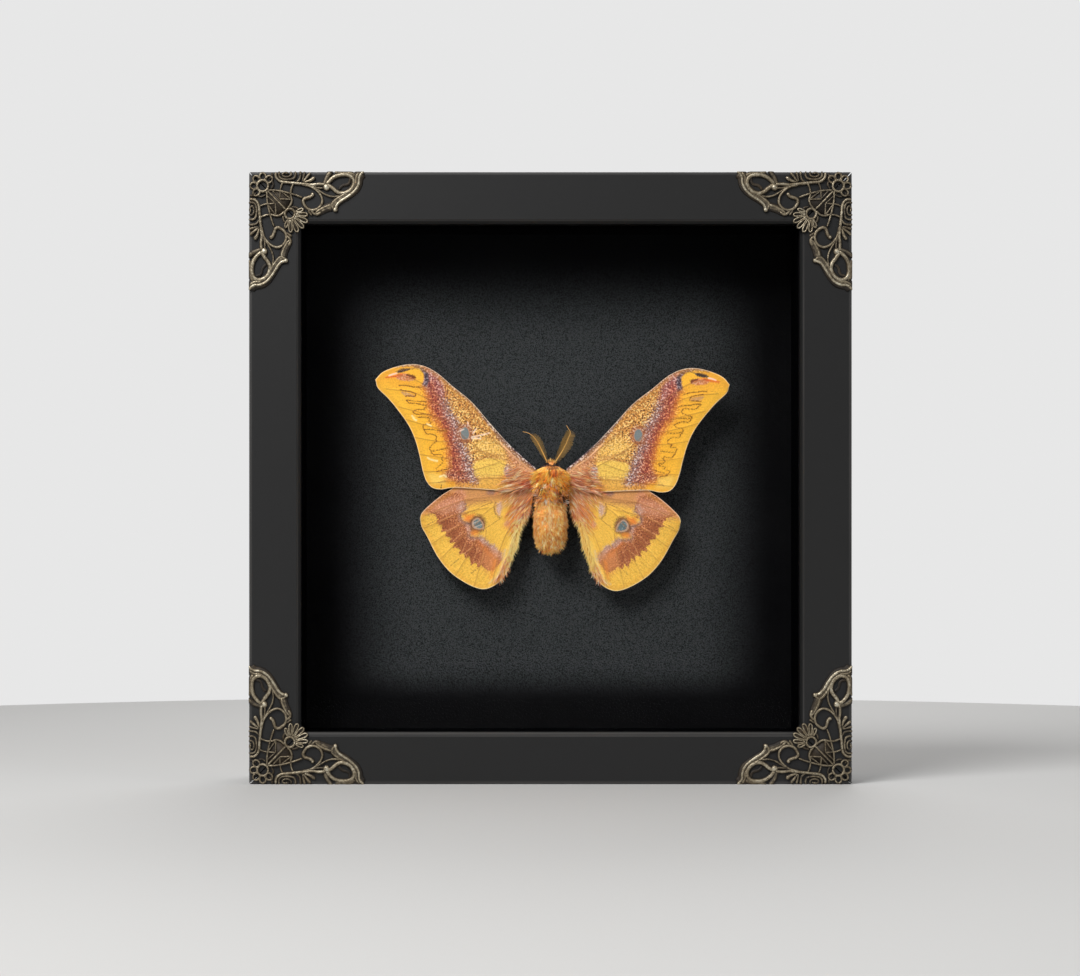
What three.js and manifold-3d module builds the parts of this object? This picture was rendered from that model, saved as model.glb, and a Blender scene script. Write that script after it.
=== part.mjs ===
import * as THREE from "three";
import { mergeVertices } from "three/addons/utils/BufferGeometryUtils.js";
import Module from "manifold-3d";

// A silk moth specimen in a small black shadow box frame with cast filigree corners.
// Millimetres, +Z up. The front faces -Y, and the frame stands on its flat bottom rail.
// While it is built, y is the depth behind the front faces of the rails.

// Frame
const frameWidth = 160;
const frameHeight = 162.5;
const frameDepth = 30;
const railWidth = 13.65;
const innerBevel = 1.05;
const edgeRadius = 0.7;
const lipDepth = 4;
const rebateWall = 8;
const mitreGap = 0.3;
const slip = 0.1;

// Glass, spacer strips and boards, stacked behind the lip
const glassThickness = 2;
const boardSurface = 22;
const mountThickness = 3;
const backingThickness = 2.5;
const paneClearance = 0.4;
const spacerSetback = 0.2;

// Steel tabs that hold the backing board
const tabLength = 13;
const tabWidth = 7;
const tabThickness = 0.4;
const tabInRail = 3;
const tabSpread = 36;
const slotClearance = 0.3;

// Sawtooth hanger on the backing board
const hangerHalf = 22;
const hangerHeight = 7;
const hangerThickness = 0.6;
const hangerRise = 0.8;
const hangerTeeth = 7;
const hangerDrop = 17;
const nailRadius = 0.45;
const nailHeadRadius = 1.3;

// Filigree corner castings
const castingThickness = 0.9;
const armScaleAcross = 0.985;
const armScaleUp = 1.015;

// Moth
const mothAcross = 0.45;
const mothUp = 81.4;
const wingPlane = 16;
const mothTurn = 0.014;
const wingThickness = 0.3;
const bodyDepthRatio = 0.78;
const pinRadius = 0.25;
const pinClearance = 0.3;
const pinTip = -1;

const glassFront = lipDepth + slip;
const spacerFront = glassFront + glassThickness + slip;
const mountFront = boardSurface;
const backingFront = mountFront + mountThickness + slip;
const backingBack = backingFront + backingThickness;
const castingRise = castingThickness + slip;
const middleDepth = (frameDepth - castingRise) / 2;
const middleHeight = frameHeight / 2;
const boardWidth = frameWidth - 2 * (rebateWall + paneClearance);
const boardHeight = frameHeight - 2 * (rebateWall + paneClearance);

const finish = (color, roughness, metalness = 0) =>
  new THREE.MeshStandardMaterial({ color, roughness, metalness });
const finishes = {
  rail: () => finish(0x17171a, 0.42),
  casting: () => finish(0x8f7f5f, 0.45, 1),
  glass: () => finish(0xf2f6f5, 0.03),
  spacer: () => finish(0x0b0b0c, 0.85),
  mount: () => finish(0x121214, 0.6),
  backing: () => finish(0x8a6a47, 0.9),
  steel: () => finish(0xa9aaa8, 0.35, 1),
  forewing: () => finish(0xd9a43a, 0.9),
  hindwing: () => finish(0xd49a45, 0.9),
  fur: () => finish(0xc98a3c, 1),
  antenna: () => finish(0x9a7a3a, 0.8),
};

const wasm = await Module();
wasm.setup();

function solidOf(geometry) {
  const plain = geometry.clone();
  plain.deleteAttribute("normal");
  plain.deleteAttribute("uv");
  const merged = mergeVertices(plain, 1e-4);
  return new wasm.Manifold(
    new wasm.Mesh({
      numProp: 3,
      vertProperties: merged.attributes.position.array,
      triVerts: new Uint32Array(merged.index.array),
    }),
  );
}

function geometryOf(solid) {
  const mesh = solid.getMesh();
  const geometry = new THREE.BufferGeometry();
  geometry.setAttribute("position", new THREE.BufferAttribute(mesh.vertProperties, 3));
  geometry.setIndex(new THREE.BufferAttribute(mesh.triVerts, 1));
  return geometry;
}

function cutAll(geometry, cutters) {
  let solid = solidOf(geometry);
  for (const cutter of cutters) solid = solid.subtract(solidOf(cutter));
  return geometryOf(solid);
}

function joinAll(geometries) {
  const [first, ...others] = geometries.map(solidOf);
  return geometryOf(others.reduce((whole, next) => whole.add(next), first));
}

function named(name, geometry, material) {
  const mesh = new THREE.Mesh(geometry, material());
  mesh.name = name;
  return mesh;
}

function boxAt(width, depth, height, x, y, z) {
  return new THREE.BoxGeometry(width, depth, height).translate(x, y, z);
}

// A round rod along the depth, from one depth to another.
function rodAt(radius, sides, x, z, fromDepth, toDepth) {
  const rod = new THREE.CylinderGeometry(radius, radius, toDepth - fromDepth, sides);
  return rod.translate(x, (fromDepth + toDepth) / 2, z);
}

// Rails. The section runs inwards from the outer side of the rail (x) and back from its front (y).
function railSection() {
  const section = new THREE.Shape();
  section.moveTo(edgeRadius, 0);
  section.lineTo(railWidth - innerBevel, 0);
  section.lineTo(railWidth, innerBevel);
  section.lineTo(railWidth, lipDepth);
  section.lineTo(rebateWall, lipDepth);
  section.lineTo(rebateWall, frameDepth);
  section.lineTo(edgeRadius, frameDepth);
  section.quadraticCurveTo(0, frameDepth, 0, frameDepth - edgeRadius);
  section.lineTo(0, edgeRadius);
  section.quadraticCurveTo(0, 0, edgeRadius, 0);
  return section;
}

// A lower rail around the frame's middle. Each end is cut back to the mitre as the section runs inwards.
function railGeometry(halfLength, reach) {
  const rail = new THREE.ExtrudeGeometry(railSection(), {
    depth: 1,
    bevelEnabled: false,
    curveSegments: 3,
  });
  const place = rail.attributes.position;
  for (let i = 0; i < place.count; i++) {
    const inwards = place.getX(i);
    const half = halfLength - inwards - mitreGap / Math.SQRT2;
    place.setXYZ(i, (1 - 2 * place.getZ(i)) * half, place.getY(i), inwards - reach);
  }
  const slotDepth = backingBack + slip + tabThickness / 2;
  const slots = [-tabSpread, tabSpread].map((x) =>
    boxAt(
      tabWidth + 2 * slotClearance,
      tabThickness + 2 * slotClearance,
      2 * (tabInRail + slotClearance),
      x,
      slotDepth,
      rebateWall - reach,
    ),
  );
  return cutAll(rail, slots);
}

function tabGeometry(x, reach) {
  const outline = new THREE.Shape();
  const half = tabWidth / 2;
  const foot = rebateWall - tabInRail;
  outline.moveTo(x - half, foot);
  outline.lineTo(x + half, foot);
  outline.lineTo(x + half, foot + tabLength - half);
  outline.absarc(x, foot + tabLength - half, half, 0, Math.PI, false);
  const tab = new THREE.ExtrudeGeometry(outline, {
    depth: tabThickness,
    bevelEnabled: false,
    curveSegments: 4,
  });
  return tab.rotateX(Math.PI / 2).translate(0, backingBack + slip + tabThickness, -reach);
}

// The four sides, as turns of the lower side about the frame's middle.
const sides = [
  { name: "bottom", turn: 0, length: frameWidth / 2, reach: frameHeight / 2 },
  { name: "left", turn: Math.PI / 2, length: frameHeight / 2, reach: frameWidth / 2 },
  { name: "top", turn: Math.PI, length: frameWidth / 2, reach: frameHeight / 2 },
  { name: "right", turn: -Math.PI / 2, length: frameHeight / 2, reach: frameWidth / 2 },
];

function buildRails() {
  const rails = new THREE.Group();
  for (const side of sides) {
    const group = new THREE.Group();
    group.rotation.y = side.turn;
    const rail = railGeometry(side.length, side.reach);
    group.add(named("frame_rail_" + side.name, rail, finishes.rail));
    [-tabSpread, tabSpread].forEach((x, i) => {
      const tab = tabGeometry(x, side.reach);
      group.add(named("backing_tab_" + side.name + "_" + (i + 1), tab, finishes.steel));
    });
    rails.add(group);
  }
  rails.position.z = middleHeight;
  return rails;
}

function buildSpacers() {
  const spacers = new THREE.Group();
  const depth = mountFront - slip - spacerFront;
  const y = spacerFront + depth / 2;
  const outer = rebateWall + paneClearance;
  const thickness = railWidth - spacerSetback - outer;
  const sideHeight = boardHeight - 2 * (thickness + slip);
  const acrossAt = frameWidth / 2 - outer - thickness / 2;
  const upAt = middleHeight - outer - thickness / 2;
  for (const [name, sign] of [["left", -1], ["right", 1]]) {
    const strip = boxAt(thickness, depth, sideHeight, sign * acrossAt, y, middleHeight);
    spacers.add(named("spacer_strip_" + name, strip, finishes.spacer));
  }
  for (const [name, sign] of [["bottom", -1], ["top", 1]]) {
    const strip = boxAt(boardWidth, depth, thickness, 0, y, middleHeight + sign * upAt);
    spacers.add(named("spacer_strip_" + name, strip, finishes.spacer));
  }
  return spacers;
}

// Sawtooth hanger: a strip with raised middle and toothed lower edge, nailed to the backing board.
const hangerUp = frameHeight - rebateWall - hangerDrop;
const nailsAcross = [-(hangerHalf - 3), hangerHalf - 3];

function hangerGeometry() {
  const foot = backingBack + slip;
  const raised = foot + hangerRise;
  const rampOut = hangerHalf - 6.5;
  const rampIn = hangerHalf - 8.5;
  const near = [
    [-hangerHalf, foot],
    [-rampOut, foot],
    [-rampIn, raised],
    [rampIn, raised],
    [rampOut, foot],
    [hangerHalf, foot],
  ];
  const far = near.map(([x, y]) => [x, y + hangerThickness]).reverse();
  const outline = new THREE.Shape([...near, ...far].map(([x, y]) => new THREE.Vector2(x, y)));
  const strip = new THREE.ExtrudeGeometry(outline, { depth: hangerHeight, bevelEnabled: false });
  strip.translate(0, 0, hangerUp - hangerHeight / 2);
  const pitch = (2 * rampIn - 2) / hangerTeeth;
  const notches = [];
  for (let i = 0; i < hangerTeeth; i++) {
    const notch = new THREE.CylinderGeometry(pitch / 2, pitch / 2, 4, 3);
    const x = (i - (hangerTeeth - 1) / 2) * pitch;
    notches.push(notch.translate(x, raised, hangerUp - hangerHeight / 2 - 0.4));
  }
  const holes = nailsAcross.map((x) =>
    rodAt(nailRadius + slotClearance, 8, x, hangerUp, foot - 1, foot + 2),
  );
  return cutAll(strip, [...notches, ...holes]);
}

function nailGeometry(x) {
  const seat = backingBack + slip + hangerThickness + slip;
  const profile = [
    [0, -backingThickness + 0.4],
    [nailRadius, -backingThickness + 0.9],
    [nailRadius, 0],
    [nailHeadRadius, 0],
    [nailHeadRadius * 0.8, 0.35],
    [0, 0.5],
  ];
  const nail = new THREE.LatheGeometry(profile.map(([r, y]) => new THREE.Vector2(r, y)), 8);
  return nail.translate(x, seat, hangerUp);
}

function buildBack() {
  const back = new THREE.Group();
  const nailHoles = nailsAcross.map((x) =>
    rodAt(nailRadius + slotClearance, 8, x, hangerUp, backingFront - 1, backingBack + 1),
  );
  const backing = boxAt(
    boardWidth,
    backingThickness,
    boardHeight,
    0,
    backingFront + backingThickness / 2,
    middleHeight,
  );
  back.add(named("backing_board", cutAll(backing, nailHoles), finishes.backing));
  back.add(named("sawtooth_hanger", hangerGeometry(), finishes.steel));
  nailsAcross.forEach((x, i) => {
    back.add(named("hanger_nail_" + (i + 1), nailGeometry(x), finishes.steel));
  });
  return back;
}

// Filigree corner casting. Points are (across, up) from the outer corner of the frame, and each list
// covers the upper arm only: the lower arm is its mirror image about the diagonal.
const cornerFlower = { centre: 3.75, hole: 1.1 };
const fanFlower = {
  centre: 11.05,
  hole: 0.95,
  petals: [
    { turn: 41, reach: 4.9, half: 6 },
    { turn: 20.5, reach: 5.35, half: 7 },
    { turn: 0, reach: 5.35, half: 7 },
  ],
};
const armEdge = [
  [0, 12.5], [1.1, 12.7], [2.1, 12.9], [1.4, 13.5], [0, 13.7],
  [0, 17.2], [1.2, 18.1], [2.3, 18], [2.7, 16.8], [2.75, 14.6], [3.05, 14.6], [3.1, 17.5],
  [3, 19.5], [1.5, 20.3], [0, 20.9],
  [0, 30.9], [0.7, 30.2], [1.6, 30], [2.8, 29.9], [4.1, 29.4], [5.2, 28.6], [6.2, 27.4],
  [7.2, 26], [8.2, 24.6], [8.9, 23.9], [9.8, 23.8], [10.1, 23.1], [9.7, 22.3], [10, 20.6],
  [10.3, 19.6], [11.1, 18.8], [11.3, 17.8], [10.8, 16.6],
];
const teardropOpening = [
  [2.9, 21.8], [1.9, 23.1], [1.3, 24.8], [1.3, 26.4], [1.9, 27.6], [3, 28.1], [4.3, 27.4],
  [5.1, 26.2], [5.3, 24.9], [4.7, 23.4], [3.7, 22.3],
];
const wedgeOpening = [[6.9, 22.2], [7.8, 22.3], [8.7, 21.9], [8.9, 20.6], [7.6, 20.3], [6.5, 20.1]];
const scrollOpening = [
  [3.8, 12.2], [3.75, 14], [3.95, 15.6], [4.5, 17], [5.4, 18.2], [6.6, 19.1], [7.9, 19.3],
  [9.1, 18.6], [9.6, 17.3], [9.3, 16], [8.4, 15.2], [7.5, 15.3], [7.2, 16.1], [6.6, 17.2],
  [5.8, 17.6], [5.5, 17], [6.3, 15.8], [6.5, 14.5], [6.1, 13.1], [5.6, 12],
];
const shoulderOpening = [
  [6.9, 13.9], [8.2, 14.1], [9.3, 13.6], [9.5, 12.6], [9.1, 11.9], [7.4, 12.1], [6.6, 12.2],
];
const stemOpening = [[3.4, 11.4], [4.9, 11], [5.1, 9.9], [4.6, 9], [3.3, 9.3]];
const webOpening = [[2.9, 8.3], [4.5, 8.1], [4.6, 6.9], [4.2, 6.3], [3.2, 6.6]];
const armOpenings = [
  teardropOpening,
  wedgeOpening,
  scrollOpening,
  shoulderOpening,
  stemOpening,
  webOpening,
];

const overDiagonal = ([across, up]) => [up, across];

function fanPoint(degrees, radius) {
  const angle = THREE.MathUtils.degToRad(degrees);
  const { centre } = fanFlower;
  return [centre + radius * Math.cos(angle), centre + radius * Math.sin(angle)];
}

// The fan flower's edge, from the upper arm down to the diagonal.
function fanEdge() {
  const points = [];
  fanFlower.petals.forEach(({ turn, reach, half }, i) => {
    const middle = 45 + turn;
    points.push(fanPoint(middle + half, reach - 0.4), fanPoint(middle, reach));
    if (turn) {
      const next = fanFlower.petals[i + 1];
      points.push(fanPoint(middle - half, reach - 0.4));
      points.push(fanPoint(45 + (turn + next.turn) / 2, next.reach - 1.1));
    }
  });
  return points;
}

function ringHole({ centre, hole }) {
  const ring = new THREE.Path();
  ring.absarc(centre * armScaleAcross, centre * armScaleUp, hole, 0, 2 * Math.PI, true);
  return new THREE.Path(ring.getPoints(4).slice(0, -1));
}

function castingGeometry() {
  const scaled = (points) =>
    points.map(([x, y]) => new THREE.Vector2(x * armScaleAcross, y * armScaleUp));
  const upper = [...armEdge, ...fanEdge()];
  const lower = upper.slice(0, -1).map(overDiagonal);
  const outline = new THREE.Shape(scaled([[0, 0], ...lower, ...upper.reverse()]));
  for (const opening of armOpenings) {
    outline.holes.push(new THREE.Path(scaled(opening)));
    outline.holes.push(new THREE.Path(scaled(opening.map(overDiagonal).reverse())));
  }
  outline.holes.push(ringHole(cornerFlower), ringHole(fanFlower));
  return new THREE.ExtrudeGeometry(outline, { depth: castingThickness, bevelEnabled: false });
}

function buildCastings() {
  const castings = new THREE.Group();
  for (const [across, left] of [["left", true], ["right", false]]) {
    for (const [up, low] of [["bottom", true], ["top", false]]) {
      const plate = castingGeometry().rotateX(Math.PI / 2).translate(0, -slip, 0);
      const casting = named("corner_casting_" + up + "_" + across, plate, finishes.casting);
      casting.scale.set(left ? 1 : -1, 1, low ? 1 : -1);
      casting.position.x = left ? -frameWidth / 2 : frameWidth / 2;
      casting.position.z = low ? 0 : frameHeight;
      castings.add(casting);
    }
  }
  return castings;
}

// Moth. Its own middle is in the thorax, at the depth of the wings. Wing points are (across, up) for
// the right side, from the root outwards; s runs from root to tip and t from front to rear edge.
const forewing = {
  steps: 20,
  rows: 5,
  front: [
    [4.1, 3.1], [7.2, 5.6], [12.2, 10.2], [17.1, 15.5], [22, 21], [27, 25], [31.7, 28.85],
    [35.2, 30.5], [38.5, 30.9], [42.9, 30], [46.4, 28.4], [48.1, 26.5],
  ],
  rear: [
    [4.9, -2.2], [11, -3.2], [15.5, -3], [21, -2.7], [26.8, -2.5], [30, -3], [32.4, -2.5],
    [33.9, -0.8], [34.9, 1.9], [35.9, 6.2], [37.1, 10.3], [38.8, 14], [42.1, 18.6], [44.6, 21.5],
    [47.5, 24.4], [48, 26.1],
  ],
  depthAt: (s, t) => -0.3 - 1.3 * s * s - 0.35 * Math.sin(Math.PI * t) * (1 - s / 2),
};
const hindwing = {
  steps: 18,
  rows: 6,
  front: [
    [4.9, -0.6], [12, 0.8], [20, 0.4], [25, -1.2], [27.1, -2.85], [29.6, -4.5], [33, -7.35],
    [35.1, -9.6], [35.5, -10.9],
  ],
  rear: [
    [4.95, -5.5], [5.3, -7.6], [6.3, -10.5], [7.6, -12.6], [8.3, -15.2], [8.9, -18.4],
    [10.2, -21.3], [11.3, -24.7], [13, -27.3], [15.5, -29.25], [18, -30], [20.4, -29.5],
    [23.7, -27.9], [27.3, -25.3], [30.6, -21.3], [33.6, -15.8], [35.1, -13.1], [35.5, -11.2],
  ],
  depthAt: (s, t) => 0.75 - 0.9 * t * Math.sin(Math.PI * s) + 0.5 * s * t,
};

function edgeCurve(points) {
  const places = points.map(([across, up]) => new THREE.Vector3(across, 0, up));
  return new THREE.CatmullRomCurve3(places, false, "centripetal");
}

// A thin sheet between two edge curves. The right side is +1 and the left side -1.
function sheetGeometry({ front, rear, depthAt, steps, rows }, side, thickness) {
  const sheet = new THREE.BoxGeometry(1, 1, 1, steps, 1, rows);
  const frontEdge = edgeCurve(front);
  const rearEdge = edgeCurve(rear);
  const place = sheet.attributes.position;
  for (let i = 0; i < place.count; i++) {
    const s = place.getX(i) + 0.5;
    const t = place.getZ(i) + 0.5;
    const point = frontEdge.getPointAt(s).lerp(rearEdge.getPointAt(s), t);
    const depth = depthAt(s, t) - side * place.getY(i) * thickness;
    place.setXYZ(i, side * point.x, depth, point.z);
  }
  return sheet;
}

function tubeGeometry(points, radius, tubeSides, steps) {
  const path = new THREE.CatmullRomCurve3(points.map((p) => new THREE.Vector3(...p)));
  const section = new THREE.Shape();
  for (let i = 0; i < tubeSides; i++) {
    const angle = (2 * Math.PI * i) / tubeSides;
    const method = i ? "lineTo" : "moveTo";
    section[method](radius * Math.cos(angle), radius * Math.sin(angle));
  }
  return new THREE.ExtrudeGeometry(section, { extrudePath: path, steps });
}

// Body outline as (radius, height), out to the tips of the fur.
const bodyProfile = [
  [0, -21.2], [1.3, -20.9], [2.6, -20.1], [3.5, -18.9], [4.2, -17.4], [4.65, -15.6],
  [4.85, -13.5], [4.85, -10.5], [4.65, -8], [4.3, -5.8], [4.05, -4.2], [4.25, -2.4], [4.3, 0],
  [3.95, 1.8], [3, 3.2], [2, 4.1], [1.6, 4.9], [0.9, 5.7], [0, 6],
];
const legPairs = [
  { start: 2.2, knee: 2.4, foot: 0.2 },
  { start: 0.2, knee: -1.6, foot: -3.8 },
  { start: -1.8, knee: -5.2, foot: -8.6 },
];

function legGeometry({ start, knee, foot }, side) {
  const route = [
    [side * 1.2, 2.2, start],
    [side * 2.6, 3.6, (start + knee) / 2],
    [side * 3, 4.1, knee],
    [side * 2.2, 4.6, (knee + foot) / 2],
    [side * 1.3, 4.9, foot],
  ];
  return tubeGeometry(route, 0.3, 5, 6);
}

function bodyGeometry() {
  const profile = bodyProfile.map(([r, z]) => new THREE.Vector2(r, z));
  const trunk = new THREE.LatheGeometry(profile, 18).rotateX(Math.PI / 2);
  trunk.scale(1, bodyDepthRatio, 1);
  const legs = [];
  for (const pair of legPairs) legs.push(legGeometry(pair, -1), legGeometry(pair, 1));
  const pinHole = rodAt(pinRadius + pinClearance, 8, 0, 0, pinTip - pinClearance, 6);
  return cutAll(joinAll([trunk, ...legs]), [pinHole]);
}

// Antennae: the shaft's points as (across, up), and how far the vanes reach to each side of it.
const antennae = [
  {
    name: "left",
    shaft: [[-1.2, 5.6], [-2.5, 7.7], [-3.7, 10], [-5.1, 11.8], [-6.5, 12.7], [-7.9, 13]],
    reach: 1.15,
  },
  {
    name: "right",
    shaft: [[1.2, 5.5], [2.7, 7.7], [3.9, 10.2], [4.7, 12.3], [4.8, 13.4], [3.8, 14.8]],
    reach: 1.6,
  },
];
const vaneSteps = 14;

function antennaGeometry({ shaft, reach }) {
  const path = new THREE.CatmullRomCurve3(shaft.map(([x, z]) => new THREE.Vector3(x, -0.5, z)));
  const vane = new THREE.BoxGeometry(1, 1, 1, vaneSteps, 1, 2);
  const place = vane.attributes.position;
  for (let i = 0; i < place.count; i++) {
    const s = place.getX(i) + 0.5;
    const comb = Math.round(s * vaneSteps) % 2 ? 1 : 0.82;
    const width = reach * comb * Math.sin(Math.PI * Math.min(1, 0.06 + s * 1.02)) ** 0.7;
    const along = path.getPointAt(s * 0.9 + 0.02);
    const heading = path.getTangentAt(s * 0.9 + 0.02);
    const off = 2 * place.getZ(i) * Math.max(width, 0.06);
    const depth = along.y + place.getY(i) * 0.16 - 0.12 * off * off;
    place.setXYZ(i, along.x - heading.z * off, depth, along.z + heading.x * off);
  }
  const rod = tubeGeometry(shaft.map(([x, z]) => [x, -0.5, z]), 0.16, 5, 10);
  return joinAll([vane, rod]);
}

function buildMoth() {
  const moth = new THREE.Group();
  moth.add(named("moth_body", bodyGeometry(), finishes.fur));
  for (const [name, side] of [["left", -1], ["right", 1]]) {
    const fore = sheetGeometry(forewing, side, wingThickness);
    const hind = sheetGeometry(hindwing, side, wingThickness);
    moth.add(named("forewing_" + name, fore, finishes.forewing));
    moth.add(named("hindwing_" + name, hind, finishes.hindwing));
  }
  for (const antenna of antennae) {
    moth.add(named("antenna_" + antenna.name, antennaGeometry(antenna), finishes.antenna));
  }
  const pinEnd = mountFront + mountThickness - wingPlane - slip;
  moth.add(named("pin", rodAt(pinRadius, 8, 0, 0, pinTip, pinEnd), finishes.steel));
  moth.position.set(mothAcross, wingPlane, mothUp);
  moth.rotation.y = mothTurn;
  return moth;
}

function buildMount() {
  const board = boxAt(
    boardWidth,
    mountThickness,
    boardHeight,
    0,
    mountFront + mountThickness / 2,
    middleHeight,
  );
  const hole = rodAt(
    pinRadius + pinClearance,
    8,
    mothAcross,
    mothUp,
    mountFront - 1,
    mountFront + mountThickness + 1,
  );
  return named("mount_board", cutAll(board, [hole]), finishes.mount);
}

function buildGlass() {
  const y = glassFront + glassThickness / 2;
  const pane = boxAt(boardWidth, glassThickness, boardHeight, 0, y, middleHeight);
  return named("glass_pane", pane, finishes.glass);
}

const framedMoth = new THREE.Group();
framedMoth.add(buildRails(), buildCastings(), buildGlass(), buildSpacers());
framedMoth.add(buildMount(), buildMoth(), buildBack());
framedMoth.children.forEach((group) => {
  group.position.y -= middleDepth;
});

export default framedMoth;
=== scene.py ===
# A silk moth specimen in a black shadow box frame with cast filigree corners.
# Blender works in metres and the lists of points below are in millimetres, so they are scaled by mm.
import math

import bmesh
import bpy
import numpy as np
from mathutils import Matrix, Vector


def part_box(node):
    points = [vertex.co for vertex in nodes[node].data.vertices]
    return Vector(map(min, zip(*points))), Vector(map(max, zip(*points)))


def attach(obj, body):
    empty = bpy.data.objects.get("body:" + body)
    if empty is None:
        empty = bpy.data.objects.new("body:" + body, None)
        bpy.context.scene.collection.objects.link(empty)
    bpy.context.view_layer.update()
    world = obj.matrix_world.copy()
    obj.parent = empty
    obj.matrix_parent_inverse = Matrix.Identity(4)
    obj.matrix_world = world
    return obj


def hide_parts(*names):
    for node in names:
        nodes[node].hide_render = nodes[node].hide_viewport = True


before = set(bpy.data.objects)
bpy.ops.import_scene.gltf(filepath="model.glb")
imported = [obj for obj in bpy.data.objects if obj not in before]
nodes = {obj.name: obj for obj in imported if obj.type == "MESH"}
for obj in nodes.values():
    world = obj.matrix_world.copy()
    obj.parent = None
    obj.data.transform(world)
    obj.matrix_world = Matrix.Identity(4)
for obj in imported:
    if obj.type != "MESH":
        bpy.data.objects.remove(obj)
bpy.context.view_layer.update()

mm = 0.001
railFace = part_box("frame_rail_bottom")[0].y / mm  # y of the rails' front faces
frameWide = 160
frameHigh = 162.5
print("loaded the packed frame with", len(nodes), "nodes")


# Shader building blocks

def newMaterial(name):
    material = bpy.data.materials.new(name)
    material.use_nodes = True
    material.node_tree.nodes.clear()
    return material


def put(tree, kind, inputs=None, **settings):
    node = tree.nodes.new("ShaderNode" + kind)
    for key, value in settings.items():
        setattr(node, key, value)
    for key, value in (inputs or {}).items():
        if isinstance(value, bpy.types.NodeSocket):
            tree.links.new(value, node.inputs[key])
        else:
            node.inputs[key].default_value = value
    return node


def calc(tree, operation, *values, clamp=False):
    node = put(tree, "Math", dict(enumerate(values)), operation=operation, use_clamp=clamp)
    return node.outputs[0]


def blend(tree, factor, first, second, mode="MIX"):
    node = put(tree, "Mix", {0: factor, 6: first, 7: second}, data_type="RGBA", blend_type=mode)
    return node.outputs[2]


def span(tree, value, low, high, outLow=0.0, outHigh=1.0, smooth=True):
    node = put(
        tree,
        "MapRange",
        {0: value, 1: low, 2: high, 3: outLow, 4: outHigh},
        interpolation_type="SMOOTHSTEP" if smooth else "LINEAR",
    )
    return node.outputs[0]


def rgb(red, green, blue):
    # Screen colour, 0 to 255, to the linear colour that shaders use
    linear = [c / 255 / 12.92 if c <= 10 else ((c / 255 + 0.055) / 1.055) ** 2.4
              for c in (red, green, blue)]
    return (*linear, 1.0)


def objectPlace(tree, scale=(1, 1, 1)):
    place = put(tree, "TexCoord").outputs["Object"]
    return put(tree, "Mapping", {"Vector": place, "Scale": scale}).outputs[0]


def noise(tree, place, scale, detail=2.0, roughness=0.5, distortion=0.0):
    node = put(
        tree,
        "TexNoise",
        {"Vector": place, "Scale": scale, "Detail": detail, "Roughness": roughness,
         "Distortion": distortion},
    )
    return node.outputs[0]


def cells(tree, place, scale, feature="F1", output="Distance"):
    node = put(tree, "TexVoronoi", {"Vector": place, "Scale": scale}, feature=feature)
    return node.outputs[output]


def bumped(tree, height, strength, distance):
    node = put(tree, "Bump", {"Height": height, "Strength": strength, "Distance": distance})
    return node.outputs[0]


def surface(material, **values):
    # Ends a material in a Principled shader; the keywords are its sockets, with _ for a space
    tree = material.node_tree
    inputs = {key.replace("_", " "): value for key, value in values.items()}
    shader = put(tree, "BsdfPrincipled", inputs)
    put(tree, "OutputMaterial", {0: shader.outputs[0]})
    return material


def dress(nodeNames, material):
    for name in nodeNames:
        mesh = nodes[name].data
        mesh.materials.clear()
        mesh.materials.append(material)


# Frame: black satin foil on the rails

rails = {
    "colour": rgb(32, 32, 32),
    # the pale foil colour serves for wear and for the painted highlights on the arrises and the bottom
    # lip
    "worn": rgb(84, 82, 80),
    "roughness": 0.42,
    "grain": 0.05,
    "edgeLine": 0.45,
    "lip": 13.0,             # from the outer edge to the inner lip
    "lipFade": (14.5, 16),   # from the frame's foot and top, where the lip's shade changes
    "lipShade": (0.65, 0.8),  # how dark the top lip and the side lips are
    "lipShine": 0.45,        # how pale the bottom lip is
    "arris": (0.45, 0.2, 0.1),  # where the pale line along the lip, partly wear and partly a painted highlight, starts, is full and ends
    "foil": rgb(32, 32, 34),    # cloudy patches
    "lipShadeColour": rgb(6, 6, 6),
}


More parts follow.
